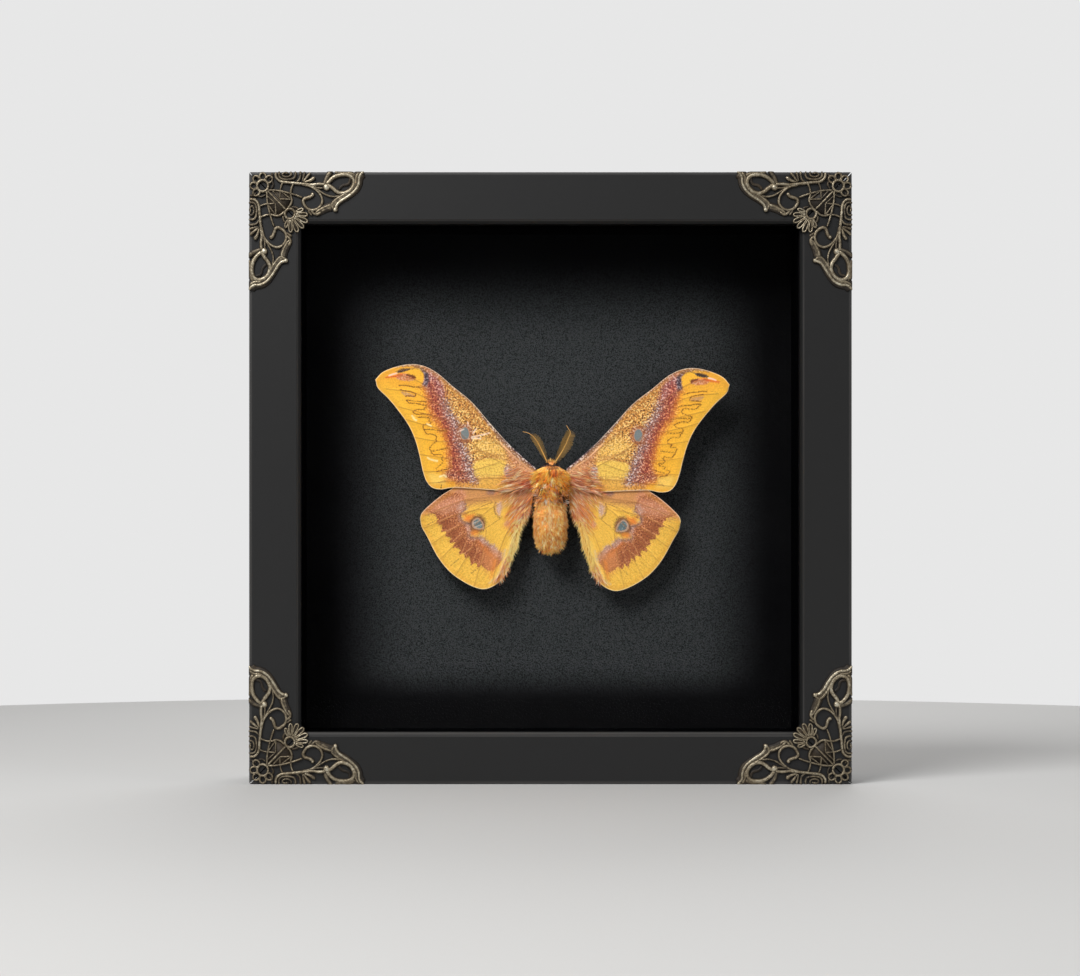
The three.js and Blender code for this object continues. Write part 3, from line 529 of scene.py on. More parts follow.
# Markings from the lowest layer up. An area is filled inside its ring and a line to its width; soft is
# the blur of the edge, ragged how far it wanders, dark and light are the scattered scales on it.
forewingMarks = [
    dict(name="rearStrip", area=[(11, 0.4), (20, 0.3), (20.4, -4), (10, -4.6)], colour=(232, 178, 84),
         soft=0.6, ragged=0.5, dark=(170, 110, 56, 0.45)),
    dict(name="underBand", area=[(20, 0.6), (29, 0.3), (30, -4), (20, -4)], colour=(226, 162, 80),
         soft=0.8, ragged=0.8, dark=(140, 76, 46, 0.8), light=(250, 206, 130, 0.6)),
    dict(name="basalBrown", area=[(2, -5), (11.2, -4), (11.6, -1), (10.8, 2.6), (11.6, 5.4), (14, 9.6),
         (10, 8), (2, 3)], colour=(196, 130, 84), soft=1.4, ragged=0.9, dark=(134, 78, 54, 0.7),
         light=(236, 184, 146, 0.7)),
    dict(name="basalPale", area=[(5, 0), (8, 0.4), (10.2, 0.6), (10.4, 3), (8, 3.4), (5.6, 2)],
         colour=(226, 172, 116), soft=1.2, ragged=0.9, strength=0.7, dark=(170, 110, 84, 0.6)),
    dict(name="basalRose", area=oval(8.4, -1.6, 2.8, 1.8), colour=(200, 116, 84), soft=1.2, ragged=1.0,
         strength=0.85, dark=(160, 74, 56, 0.6), light=(230, 170, 140, 0.6)),
    dict(name="basalRed", area=oval(7, -1.1, 1.5, 1.1), colour=(204, 88, 68), soft=0.8, ragged=1.2,
         strength=0.75, light=(222, 130, 100, 0.6), side=-1),
    dict(name="lightMedian", area=[(12.8, 5.6), (20, 6.4), (21, 9), (18, 11), (15, 10.6), (13, 8.6)],
         colour=(236, 190, 96), soft=1.4, ragged=1.2, strength=0.85, dark=(168, 108, 54, 0.7),
         light=(252, 222, 150, 0.5)),
    dict(name="medianOchre", line=[(14, 11), (20, 16.6), (27, 23), (31, 26)], width=3.4,
         colour=(188, 124, 64), soft=2.0, ragged=1.0, strength=0.75, dark=(72, 34, 20, 0.94),
         light=(255, 220, 140, 0.9)),
    dict(name="yellowPatch", area=[(12.5, 4.7), (14, 5.2), (17, 5.2), (20, 4.6), (21.6, 3.2),
         (21.2, 0.7), (20.8, 0.3), (12.4, 0.5), (12.7, 2.5)], colour=(238, 198, 94), soft=0.45,
         ragged=0.5, dark=(206, 150, 62, 0.6)),
    dict(name="patchLine", line=[(12.4, 0.6), (16, 0.9), (20.6, 0.5)], width=0.25,
         colour=(190, 136, 70), soft=0.25, ragged=0.3, strength=0.7),
    dict(name="patchArc", line=[(11.8, 4.9), (14, 5.5), (17, 5.6), (20, 5), (22, 4)], width=0.4,
         colour=(176, 112, 60), soft=0.35, ragged=0.4, strength=0.75),
    dict(name="medianArc", line=[(13, 6.4), (16, 6.3), (18.4, 6.9), (20.8, 8)], width=0.35,
         colour=(168, 104, 58), soft=0.4, ragged=0.4, strength=0.7),
    dict(name="bandWash", area=bandInside + [(28.4, -2)] + yellowEdge[::-1] + [(36, 29), (34, 31)],
         colour=(168, 94, 72), soft=1.0, ragged=1.3, dark=(92, 44, 46, 0.9),
         light=(240, 186, 150, 0.8)),
    dict(name="bandRose", area=[(30, 22), (32.6, 22), (35, 25), (35, 28), (33.4, 29.6), (31, 28)],
         colour=(158, 98, 96), soft=1.4, ragged=1.2, strength=0.85, dark=(80, 42, 56, 0.9),
         light=(240, 208, 204, 0.85)),
    dict(name="bandCore", line=[(33.2, 25), (32.8, 24), (32.5, 21), (32, 19), (31, 17), (29.8, 15),
         (28.6, 12.5), (27.8, 10), (27.1, 8), (26.6, 6), (26.4, 4), (26.2, 2.4)], width=2.2,
         colour=(160, 74, 56), soft=1.5, ragged=1.6, strength=0.85, dark=(92, 34, 40, 0.9),
         light=(240, 156, 110, 0.8)),
    dict(name="bandRust", line=[(34.2, 21.6), (33.6, 19), (32.6, 17), (31, 14.4), (29.4, 11.6),
         (28.6, 8.6), (27.9, 6)], width=1.0, colour=(200, 104, 46), soft=0.9, ragged=1.4, strength=0.8,
         dark=(134, 58, 34, 0.7), light=(244, 166, 84, 0.7)),
    dict(name="bandLilac", line=[(29.2, 20), (28.2, 17), (26.8, 15), (25.9, 13), (25.4, 11), (24.9, 9),
         (23.8, 7), (23.1, 5), (22.7, 3), (22, 1.2), (21, -0.6)], width=1.7, colour=(150, 114, 106),
         soft=1.5, ragged=1.6, strength=0.85, dark=(70, 46, 62, 0.9), light=(244, 230, 228, 0.85)),
    dict(name="yellowField", area=yellowEdge + [(25, -6), (60, -6), (60, 36), (44.4, 31), (43.4, 30),
         (42.8, 29.4), (42, 29.8), (38.4, 29.6), (36.4, 28.9), (35.5, 27.8), (35.3, 26.4), (35.8, 25)],
         colour=(243, 181, 57), soft=0.3, ragged=1.1, dark=(230, 154, 44, 0.25)),
    dict(name="fieldBlend", line=yellowEdge, width=1.3, colour=(226, 138, 46), soft=0.9, ragged=1.5,
         strength=0.6, dark=(176, 76, 44, 0.8), light=(255, 208, 110, 0.6)),
    dict(name="fieldLight", line=[(34, -0.6), (35, 2), (35.8, 6.2), (36.8, 10.3), (38.4, 14),
         (41.2, 18.4), (44, 22), (46.6, 25)], width=3.0, colour=(244, 188, 64), soft=2.0, ragged=0.5,
         strength=0.7),
    dict(name="fieldTop", area=[(36, 24.4), (44, 24), (49, 25), (48, 29), (43, 29.6), (37, 26)],
         colour=(236, 168, 56), soft=1.2, ragged=0.6, strength=0.7),
    dict(name="fieldPale", area=[(28.4, -2.4), (32.6, -2.4), (34, 0.6), (32, 1), (29, 0.4)],
         colour=(244, 204, 104), soft=0.8, ragged=0.4, strength=0.7),
    dict(name="pinkLens", area=[(37.4, 21.8), (38.1, 22.2), (39.6, 22.6), (41.3, 22.9), (41.6, 22.6),
         (40.8, 21.8), (40.1, 21.3), (38.8, 21.4), (37.7, 21.5)], colour=(204, 150, 100), soft=0.22,
         ragged=0.3, strength=0.85, light=(224, 190, 150, 0.5)),
    dict(name="toothShade", lines=toothLines, width=0.5, colour=(216, 142, 48), soft=0.3, ragged=0.3,
         strength=0.5, straight=1),
    dict(name="toothLine", lines=toothLines, width=0.2, colour=(84, 36, 22), soft=0.12, ragged=0.22,
         strength=0.95, straight=1),
    dict(name="outerVeins", lines={1: outerVeins, -1: outerVeins}, width=0.1, colour=(196, 130, 54),
         soft=0.12, ragged=0.1, strength=0.7),
    dict(name="brownRays", line=[(28.3, -0.9), (30.6, -1.6)], width=0.3, colour=(150, 92, 50),
         soft=0.25, ragged=0.3, strength=0.6),
    dict(name="salmonField", area=[(37.6, 26.2), (39.6, 25.7), (42, 26), (43.4, 26.8), (41.6, 27.5),
         (40, 27.6), (38.8, 27.2)], colour=(212, 132, 84), soft=0.3, ragged=0.4,
         light=(232, 184, 150, 0.6), dark=(180, 88, 54, 0.4)),
    dict(name="hookShade", area=[(34.5, 24.2), (34, 26.2), (34.3, 28), (35.6, 29.4), (37.6, 30),
         (38.6, 29.6), (36.6, 29.1), (35.5, 27.9), (35.3, 26.2), (35.7, 24.9)], colour=(88, 70, 78),
         soft=0.3, ragged=0.5, dark=(40, 30, 40, 0.8), light=(190, 170, 176, 0.5)),
    dict(name="hookMark", area=[(37.5, 26.7), (38, 27.2), (39.1, 27.4), (40.1, 27.5), (39.9, 27),
         (38.7, 26.7), (38, 26.2)], colour=(112, 54, 30), soft=0.2, ragged=0.3, strength=0.95),
    dict(name="costalStrip", area=[(30, 27), (32, 28.4), (35.8, 29.7), (38, 30), (41.8, 29.5),
         (43, 29.1), (44, 32), (32, 32), (28, 28)], colour=(160, 112, 76), soft=0.35, ragged=0.5,
         strength=0.9, dark=(92, 66, 66, 0.8), light=(220, 190, 170, 0.7)),
    dict(name="costalDusk", line=[(17.1, 15.5), (22, 21), (27, 25), (31.7, 28.85), (35.2, 30.5),
                                  (38.5, 30.9)],
         width=2.0, colour=(166, 118, 88), soft=0.4, ragged=0.6, strength=0.85, dark=(84, 54, 54, 0.9),
         light=(246, 226, 206, 0.7)),
    dict(name="blackMark", area=[(37.9, 29.1), (39.6, 29.1), (41, 29.1), (42.2, 28.7), (42.8, 28.1),
         (42, 27.8), (40.9, 28), (39.8, 28.3), (38.8, 28.9)], colour=(38, 34, 40), soft=0.2,
         ragged=0.35, light=(110, 104, 112, 0.4)),
    dict(name="redDash", line=[(41.4, 27.5), (42.6, 27.1), (44, 26.6), (45.6, 26.5)], width=0.5,
         colour=(222, 92, 44), soft=0.3, ragged=0.3, strength=0.9),
    dict(name="whiteDash", line=[(42.7, 27.7), (43.8, 27.3), (44.7, 26.9)], width=0.34,
         colour=(252, 214, 204), soft=0.18, ragged=0.15, strength=0.95),
    dict(name="spotHalo", area=oval(23.7, 12, 2.3, 2.7), colour=(160, 92, 62), soft=0.8, ragged=1.0,
         strength=0.85, dark=(104, 54, 46, 0.7), light=(224, 190, 170, 0.7)),
    dict(name="spotRing", area=oval(23.7, 12, 1.32, 1.9, -0.1), colour=(196, 150, 120), soft=0.14,
         ragged=0.2, strength=0.7),
    dict(name="clearSpot", area=oval(23.7, 12, 1.12, 1.68, -0.1), colour=(118, 126, 126), soft=0.12,
         ragged=0.12),
    dict(name="lilacSpot", area=oval(11.8, 2, 0.9, 1.7), colour=(186, 150, 142), soft=0.6, ragged=0.9,
         strength=0.9, dark=(130, 96, 96, 0.5), light=(236, 220, 214, 0.7)),
    dict(name="costalGrey", area=[(3, 2.6), (6, 5.6), (10, 9.2), (14, 13.2), (19, 18.6), (19.4, 16.8),
         (14.8, 11), (12.4, 8.6), (10, 6.2), (8, 4.7), (4.6, 2.3)], colour=(104, 82, 88), soft=0.3,
         ragged=0.4, strength=0.92, dark=(50, 38, 50, 0.9), light=(236, 222, 214, 0.8)),
    dict(name="veinPale", line=[(4.6, 2), (8, 4.3), (10, 5.8), (12.4, 8.2), (14, 9.8)], width=0.3,
         colour=(246, 200, 158), soft=0.2, ragged=0.2, strength=0.85),
    dict(name="scratch", lines={-1: [[(22, 11), (19.7, 11.6), (17.3, 12.3)],
         [(21.8, 10.7), (19.5, 10.7)], [(24.1, 13.1), (25.6, 12.3)], [(23.2, 15), (23, 14)],
         [(21.5, 12.3), (20.6, 13.4)]]}, width=0.33, colour=(240, 216, 200), soft=0.17, ragged=0.08,
         strength=0.8, side=-1),
    dict(name="nick", lines={-1: [[(29.9, -3.1), (29.8, -2.3)]]}, width=0.3, colour=(24, 20, 18),
         soft=0.12, ragged=0.2, side=-1),
    dict(name="chips", lines={-1: [[(38.3, 16.3), (37.7, 15.8), (37, 15.2)], [(34, 14.3), (32.9, 13.8)],
         [(33.7, 5.1), (32.8, 4.6), (31.2, 4.4)], [(30.4, 0.1), (29, 0.4), (28.5, 0.1)]]}, width=0.4,
         colour=(255, 236, 178), soft=0.22, ragged=0.35, strength=0.9, side=-1),
]

bandOutside = [
    (34, -9.4), (31.4, -10.4), (30.4, -11.6), (30.7, -12.8), (29.2, -13), (29.4, -15), (28.2, -14.8),
    (28.4, -16.2), (26.7, -16.2), (27.2, -17.8), (25.8, -17.8), (26.2, -19.4), (24.3, -19.2),
    (24.6, -21), (23.1, -20.6), (22.9, -22), (21.8, -21.2), (21, -23.8), (19.9, -22.9), (19.3, -24.4),
    (18.3, -23.6), (16.6, -25), (15, -25.4),
]
bandScallops = [
    (24, -4.5), (23, -7), (23, -8.5), (24.4, -10), (24.2, -11.5), (22.5, -12.3), (21.5, -13),
    (21.3, -14.5), (21.8, -15.8), (20, -16.5), (18.3, -16.2), (17.4, -17), (16.5, -18), (15, -18.5),
    (14.2, -19.8), (13.2, -20.5), (12.9, -21.8), (13.3, -23), (14.5, -24.5),
]
hindwingMarks = [
    dict(name="upperTan", area=[(4, 2), (26, 1), (36, -8), (32, -10.4), (24, -8), (16, -6.4),
         (12, -6.4), (4, -4)], colour=(204, 144, 86), soft=1.5, ragged=1.2, streaky=0.5,
         dark=(160, 104, 70, 0.4)),
    dict(name="upperRose", area=[(24, -2), (34, -7), (35, -10.4), (31, -9.6), (25, -8), (23, -5)],
         colour=(206, 138, 98), soft=1.0, ragged=0.9, streaky=0.3, light=(228, 176, 146, 0.5)),
    dict(name="band", area=bandOutside + bandScallops[::-1] + [(28, -4)], colour=(172, 102, 62),
         soft=0.2, ragged=0.45, streaky=0.25, dark=(118, 58, 42, 0.8), light=(230, 160, 112, 0.65)),
    dict(name="bandRoseTop", area=[(23.8, -5), (31, -6.6), (33, -9), (28.4, -10), (24.4, -8.6)],
         colour=(204, 138, 102), soft=1.2, ragged=0.8, strength=0.85, streaky=0.3,
         dark=(170, 104, 82, 0.5), light=(230, 180, 152, 0.5)),
    dict(name="bandDeep", line=[(28.6, -12.4), (27, -14), (25.6, -16), (24, -18), (22, -19.6),
                                (20, -21.4)],
         width=2.6, colour=(150, 84, 52), soft=1.0, ragged=0.9, strength=0.75, streaky=0.4,
         dark=(116, 60, 44, 0.6)),
    dict(name="bandRust", line=[(24, -9.6), (22.4, -11), (20.8, -15.4), (17, -19.6), (15.8, -21)],
         width=0.9, colour=(216, 122, 54), soft=0.8, ragged=0.9, strength=0.7),
    dict(name="bandRays", lines={side: [[(22, -16.4), (23.7, -20.2)], [(20.9, -19), (23.2, -20.8)],
         [(24.8, -12.8), (28.6, -15)], [(27.2, -7.9), (31.3, -9.6)], [(19.4, -19), (20.6, -22.6)],
         [(23.4, -14.6), (26.2, -17.4)], [(17.6, -20.2), (18.4, -23.2)], [(26.6, -10.4), (30.2, -12.4)]]
         for side in (-1, 1)}, width=0.14, colour=(232, 166, 112), soft=0.2, ragged=0.3, strength=0.8),
    dict(name="bandLilac", line=bandScallops[2:-2], width=0.9, colour=(176, 134, 118), soft=0.7,
         ragged=0.8, strength=0.75, light=(214, 190, 178, 0.5)),
    dict(name="bandBrink", line=bandScallops[1:-3], width=0.32, colour=(92, 54, 46), soft=0.3,
         ragged=0.5, strength=0.7),
    dict(name="lilacPatches", lines={side: [[(23.8, -7.2), (24.6, -8.6)],
         [(22.2, -12.6), (21.6, -14.4)], [(18.4, -16.8), (17.4, -17.6)],
         [(15.4, -18.8), (14, -20.8)]] for side in (-1, 1)}, width=1.1, colour=(198, 158, 142),
         soft=0.8, ragged=0.9, strength=0.7, light=(232, 214, 206, 0.6)),
    dict(name="bandFade", area=[(13.4, -20), (17.4, -19.4), (18.4, -23), (16.6, -25.6), (13.6, -24)],
         colour=(214, 138, 84), soft=1.5, ragged=1.0, strength=0.6, streaky=0.8),
    dict(name="orangeStreak", line=[(14.6, -22.4), (15.6, -27)], width=0.8, colour=(222, 134, 56),
         soft=0.7, ragged=0.4, strength=0.75),
    dict(name="eyeHalo", area=oval(19.6, -12.5, 2.3, 2.5), colour=(116, 72, 54), soft=0.6, ragged=0.7,
         strength=0.9, dark=(70, 46, 44, 0.6)),
    dict(name="eyeAmber", area=[(20.4, -9.8), (22.4, -10.4), (23.6, -11.8), (21.8, -12.2)],
         colour=(226, 128, 50), soft=0.5, ragged=0.5, strength=0.85),
    dict(name="eyeAmberLow", area=oval(20.4, -14.9, 1.3, 0.6), colour=(222, 132, 54), soft=0.5,
         ragged=0.5, strength=0.8),
    dict(name="eyeDash", line=[(21.2, -12.5), (22.6, -12.5), (23.6, -12)], width=0.3,
         colour=(110, 78, 66), soft=0.25, ragged=0.4, strength=0.8),
    dict(name="eyeRing", area=[(17.6, -13.9), (18.2, -11.9), (19.6, -10.7), (21, -11.9), (20.8, -13.5),
         (19.3, -14.2)], colour=(196, 164, 140), soft=0.13, ragged=0.15, strength=0.8, smooth=1),
    dict(name="eyeSpot", area=[(18, -13.6), (18.5, -12), (19.6, -11.1), (20.6, -12), (20.3, -13.2),
         (19.2, -13.8)], colour=(96, 112, 114), soft=0.12, ragged=0.15, smooth=1,
         light=(140, 158, 160, 0.7)),
    dict(name="eyeStripe", lines={-1: [[(18.2, -12.6), (20.3, -13.6)], [(18.9, -11.4), (20.7, -12.4)]]},
         width=0.22, colour=(214, 196, 184), soft=0.15, ragged=0.1, strength=0.8, side=-1),
    dict(name="rootShade", area=oval(16.2, -3.8, 1.1, 0.8), colour=(132, 92, 82), soft=0.5, ragged=0.8,
         strength=0.8, light=(190, 160, 150, 0.5)),
    dict(name="lilacArc", area=[(13.3, -6.3), (14.5, -7), (14.6, -9.2), (13.6, -10.2), (13, -8.4)],
         colour=(194, 150, 136), soft=0.5, ragged=0.8, strength=0.85, light=(240, 222, 214, 0.8)),
    dict(name="darkArc", line=[(14.7, -6.4), (15.1, -8), (14.7, -9.6), (13.8, -10.6)], width=0.3,
         colour=(128, 76, 54), soft=0.3, ragged=0.5, strength=0.8),
    dict(name="lilacInner", area=oval(11.6, -12.2, 0.7, 0.8), colour=(204, 156, 132), soft=0.5,
         ragged=0.7, strength=0.8, light=(240, 216, 204, 0.7)),
    dict(name="rays", lines={side: [[(15.4, -6.4), (18, -7.6), (20.4, -8.8), (23.6, -10.2)],
         [(13.2, -10.4), (15.6, -12.4), (18, -14.4)], [(16.2, -6.2), (20, -6.2), (23.4, -6)],
         [(24.6, -22.2), (26.6, -24)], [(19.6, -24.6), (21, -26)], [(30.8, -11.8), (33.4, -13.2)]]
         for side in (-1, 1)}, width=0.14, colour=(140, 84, 50), soft=0.2, ragged=0.3, strength=0.8),
    dict(name="greyMargin", line=[(12, -19.4), (12.6, -23), (14, -26.4), (16, -28.6)], width=0.3,
         colour=(200, 182, 164), soft=0.4, ragged=0.5, strength=0.75),
    dict(name="rootFurry", area=[(3, -4), (7, -5), (10.4, -9), (12.2, -13), (9.4, -14.6), (7, -11),
                                 (4, -7)],
         colour=(226, 138, 68), soft=1.4, ragged=0.8, strength=0.8, dark=(190, 100, 66, 0.5)),
    dict(name="innerCream", line=[(10, -16), (11.2, -20), (12.4, -24), (14.6, -27.8)], width=1.2,
         colour=(244, 210, 112), soft=0.9, ragged=0.5, strength=0.7),
]


wingSheet = {
    "calm": 1.2,                        # how far from the margin the relief dies out
    "pleatReach": 2.4, "veinHalf": 0.22,
    "buckle": 0.05, "bucklePitch": 3.5,
    "wander": 0.18, "wanderPitch": 2.2,  # how far the markings' edges stray
    "far": 9.0,                         # distance noted where a marking is absent
}


def layerDistance(places, mark, side):
    # Distance in millimetres from the marking's edge, negative inside it
    if "area" in mark:
        ring = turnedBack(mark["area"])
        if mark.get("smooth"):
            ring = smoothLine(np.vstack([ring, ring[:1]]), 48)[:-1]
        away = lineDistance(places, np.vstack([ring, ring[:1]]))
        return np.where(insideOf(places, ring), -away, away)
    away = np.full(len(places), wingSheet["far"])
    for points in mark["lines"].get(side, []) if "lines" in mark else [mark["line"]]:
        line = turnedBack(points)
        if len(line) > 2 and not mark.get("straight"):
            line = smoothLine(line, 5 * len(line))
        away = np.minimum(away, lineDistance(places, line))
    return away - mark["width"] / 2


def wingMesh(name, shape, marks, side, material, seed):
    steps, rows = shape["steps"], shape["rows"]
    front = smoothLine(shape["front"], steps + 1)
    rear = smoothLine(shape["rear"], steps + 1)
    s, t = np.meshgrid(np.linspace(0, 1, steps + 1), np.linspace(0, 1, rows + 1), indexing="ij")
    flat = front[:, None] * (1 - t[..., None]) + rear[:, None] * t[..., None]
    places = flat.reshape(-1, 2)
    s, t = s.ravel(), t.ravel()
    outline = np.vstack([front, rear[::-1]])
    edge = lineDistance(places, outline)
    veins = np.min([lineDistance(places, smoothLine(line, 40)) for line in shape["veins"]], axis=0)
    calm = np.clip(edge / wingSheet["calm"], 0, 1)
    pleat = np.sin(np.clip(veins / wingSheet["pleatReach"], 0, 1) * math.pi / 2)
    buckle = roughField(places[:, 0], places[:, 1], wingSheet["bucklePitch"], seed)
    relief = calm * (shape["pleat"] * pleat
                     - shape["veinRise"] * np.exp(-(veins / wingSheet["veinHalf"]) ** 2)
                     + wingSheet["buckle"] * buckle)
    depth = shape["depth"](s, t) + relief
    half = shape["thickness"] / 2 * np.clip(0.35 + edge / 0.5, 0.35, 1)
    local = [np.stack([side * places[:, 0], depth + sign * half, places[:, 1]], axis=1)
             for sign in (-1, 1)]
    total = len(places)
    grid = np.arange(total).reshape(steps + 1, rows + 1)
    corners = [grid[:-1, :-1], grid[1:, :-1], grid[1:, 1:], grid[:-1, 1:]]
    quads = np.stack(corners, axis=-1).reshape(-1, 4)
    rim = np.concatenate([grid[:, 0], grid[-1, 1:], grid[-2::-1, -1], grid[0, -2:0:-1]])
    after = np.roll(rim, -1)
    walls = np.stack([rim, after, after + total, rim + total], axis=1)
    frontFaces, backFaces = quads[:, ::-1], quads + total
    walls = walls[:, ::-1] if side > 0 else walls
    if side < 0:
        frontFaces, backFaces = frontFaces[:, ::-1], backFaces[:, ::-1]
    faces = np.vstack([frontFaces, backFaces, walls]).tolist()
    piece = meshPiece(name, mothPlaces(np.vstack(local)), faces, material)
    mesh = piece.data
    # The markings' edges wander a little, differently on each side
    wander = np.stack([roughField(places[:, 0], places[:, 1], wingSheet["wanderPitch"], seed + i)
                       for i in (1, 2)], axis=1)
    bent = places + wingSheet["wander"] * wander
    values = {"edge": edge, "veins": veins}
    for mark in marks:
        if mark.get("side", side) == side:
            values[mark["name"]] = layerDistance(bent, mark, side)
        else:
            values[mark["name"]] = np.full(total, wingSheet["far"])
    for key, value in values.items():
        attribute = mesh.attributes.new(key, "FLOAT", "POINT")
        attribute.data.foreach_set("value", np.tile(value, 2).astype(np.float32))
    wide, high = shape["flow"](places)
    flow = mesh.attributes.new("flow", "FLOAT_VECTOR", "POINT")
    both = np.stack([np.tile(wide, 2), np.tile(high, 2) + seed, np.zeros(2 * total)], axis=1)
    flow.data.foreach_set("vector", both.ravel().astype(np.float32))
    return piece


def alongWing(places):
    return places[:, 0], places[:, 1]


def fromRoot(places):
    away = places - np.array([4.0, -2.0])
    return np.linalg.norm(away, axis=1), np.arctan2(away[:, 1], away[:, 0]) * 22


forewing["flow"] = alongWing
hindwing["flow"] = fromRoot


def valueOf(tree, name):
    return put(tree, "Attribute", attribute_name=name).outputs["Fac"]


scatter = {"dark": (0.52, 0.58), "light": (0.56, 0.62), "reach": 2.4, "streakReach": 3}


def wingMaterial(name, ground, marks, freckle):
    material = newMaterial(name)
    tree = material.node_tree
    flow = put(tree, "Attribute", attribute_name="flow").outputs["Vector"]
    aside = put(tree, "VectorMath", {0: flow, 1: (37, 11, 5)}, operation="ADD").outputs[0]
    scales = noise(tree, flow, 2.3, 2, 0.6)
    fine = noise(tree, flow, 9.0, 2, 0.6)
    darkScales = noise(tree, flow, freckle["pitch"], 0.6, 0.6)
    lightScales = noise(tree, aside, freckle["pitch"], 0.6, 0.6)
    streaks = noise(tree, put(tree, "Mapping", {"Vector": flow, "Scale": (0.45, 3.4, 1)}).outputs[0],
                    1.0, 3, 0.6)
    cloudy = noise(tree, flow, 0.45, 2, 0.5)
    darkMask = span(tree, darkScales, *scatter["dark"])
    lightMask = span(tree, lightScales, *scatter["light"])
    centredScales = calc(tree, "SUBTRACT", scales, 0.5)
    centredStreaks = calc(tree, "SUBTRACT", streaks, 0.5)

    def scattered(colour, mask, mark):
        # Darker and paler scales that lie among the ones of the marking's own colour
        for key, share in (("dark", darkMask), ("light", lightMask)):
            if key in mark:
                *tint, amount = mark[key]
                part = calc(tree, "MULTIPLY", calc(tree, "MULTIPLY", mask, share), amount)
                colour = blend(tree, part, colour, rgb(*tint))
        return colour

    colour = blend(tree, cloudy, rgb(*ground[0]), rgb(*ground[1]))
    colour = scattered(colour, 1.0, freckle)
    for mark in marks:
        value = valueOf(tree, mark["name"])
        value = calc(tree, "ADD", value, calc(tree, "MULTIPLY", centredScales,
                                              scatter["reach"] * mark["ragged"]))
        if mark.get("streaky"):
            value = calc(tree, "ADD", value, calc(tree, "MULTIPLY", centredStreaks,
                                                  scatter["streakReach"] * mark["streaky"]))
        mask = span(tree, value, mark["soft"], -mark["soft"], 0, mark.get("strength", 1.0))
        colour = scattered(blend(tree, mask, colour, rgb(*mark["colour"])), mask, mark)
    # Scale rows lighten and darken every part of the wing, and the veins show a little
    shade = calc(tree, "ADD", span(tree, scales, 0.3, 0.7, 1 - freckle["scales"], 1 + freckle["scales"],
                                   False),
                 span(tree, streaks, 0.3, 0.7, -freckle["streaks"], freckle["streaks"], False))
    tint = put(tree, "CombineColor", {0: shade, 1: shade, 2: shade}).outputs[0]
    colour = blend(tree, 1.0, colour, tint, "MULTIPLY")
    veins = span(tree, valueOf(tree, "veins"), 0.08, 0.26, 0.4, 0)
    colour = blend(tree, veins, colour, rgb(*freckle["vein"]))
    edge = valueOf(tree, "edge")
    inner = calc(tree, "MULTIPLY", span(tree, edge, 0.25, 0.5), span(tree, edge, 0.9, 1.8, 1, 0))
    colour = blend(tree, calc(tree, "MULTIPLY", inner, 0.3), colour, rgb(214, 146, 52))
    rim = calc(tree, "ADD", edge, calc(tree, "MULTIPLY", centredScales, 0.3))
    rooted = calc(tree, "MULTIPLY", span(tree, rim, 0.1, 0.22, 0.7, 0),
                  span(tree, put(tree, "SeparateXYZ", {0: flow}).outputs[0], 9, 16))
    colour = blend(tree, rooted, colour, rgb(236, 212, 180))
    height = calc(tree, "ADD", calc(tree, "MULTIPLY", fine, 0.6), calc(tree, "MULTIPLY", streaks, 0.5))
    return surface(
        material,
        Base_Color=colour,
        Roughness=0.78,
        Specular_IOR_Level=0.2,
        Normal=bumped(tree, height, 0.35, 0.00012),
    )


forewingScales = wingMaterial(
    "forewingScales", ((222, 160, 80), (208, 146, 74)), forewingMarks,
    {"pitch": 2.05, "dark": (76, 36, 20, 0.94), "light": (255, 222, 140, 0.92), "scales": 0.12,
     "streaks": 0.05, "vein": (150, 92, 50)})
hindwingScales = wingMaterial(
    "hindwingScales", ((240, 192, 82), (232, 180, 72)), hindwingMarks,
    {"pitch": 2.4, "dark": (204, 142, 52, 0.35), "light": (255, 226, 130, 0.12), "scales": 0.08,
     "streaks": 0.12, "vein": (168, 112, 58)})
for sideName, side, seed in (("left", -1, 11), ("right", 1, 23)):
    for kind, shape, marks, material in (
        ("forewing", forewing, forewingMarks, forewingScales),
        ("hindwing", hindwing, hindwingMarks, hindwingScales),
    ):
        wingPiece = wingMesh(kind + "_scales_" + sideName, shape, marks, side, material, seed)
        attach(wingPiece, "root")
        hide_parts(kind + "_" + sideName)
print("four wings are laid out with their markings")


# Geometry Nodes building blocks

def startTree(name, **sizes):
    # A node group with one named input for each size, and the geometry in and out
    tree = bpy.data.node_groups.new(name, "GeometryNodeTree")
    tree.interface.new_socket(name="Geometry", in_out="INPUT", socket_type="NodeSocketGeometry")
    for key, value in sizes.items():
        kind = "NodeSocketInt" if isinstance(value, int) else "NodeSocketFloat"
        socket = tree.interface.new_socket(name=key, in_out="INPUT", socket_type=kind)
        socket.default_value = value
    tree.interface.new_socket(name="Geometry", in_out="OUTPUT", socket_type="NodeSocketGeometry")
    given = tree.nodes.new("NodeGroupInput").outputs
    return tree, given


def geo(tree, kind, inputs=None, **settings):
    node = tree.nodes.new(kind)
    for key, value in settings.items():
        setattr(node, key, value)
    for key, value in (inputs or {}).items():
        if isinstance(value, bpy.types.NodeSocket):
            tree.links.new(value, node.inputs[key])
        else:
            node.inputs[key].default_value = value
    return node


def geoMath(tree, operation, *values):
    return geo(tree, "ShaderNodeMath", dict(enumerate(values)), operation=operation).outputs[0]


def geoVector(tree, operation, *values):
    return geo(tree, "ShaderNodeVectorMath", dict(enumerate(values)), operation=operation).outputs[0]


def geoRandom(tree, low, high, seed, vector=False):
    first = 0 if vector else 2
    node = geo(tree, "FunctionNodeRandomValue", {first: low, first + 1: high, 8: seed},
               data_type="FLOAT_VECTOR" if vector else "FLOAT")
    return node.outputs[0 if vector else 1]


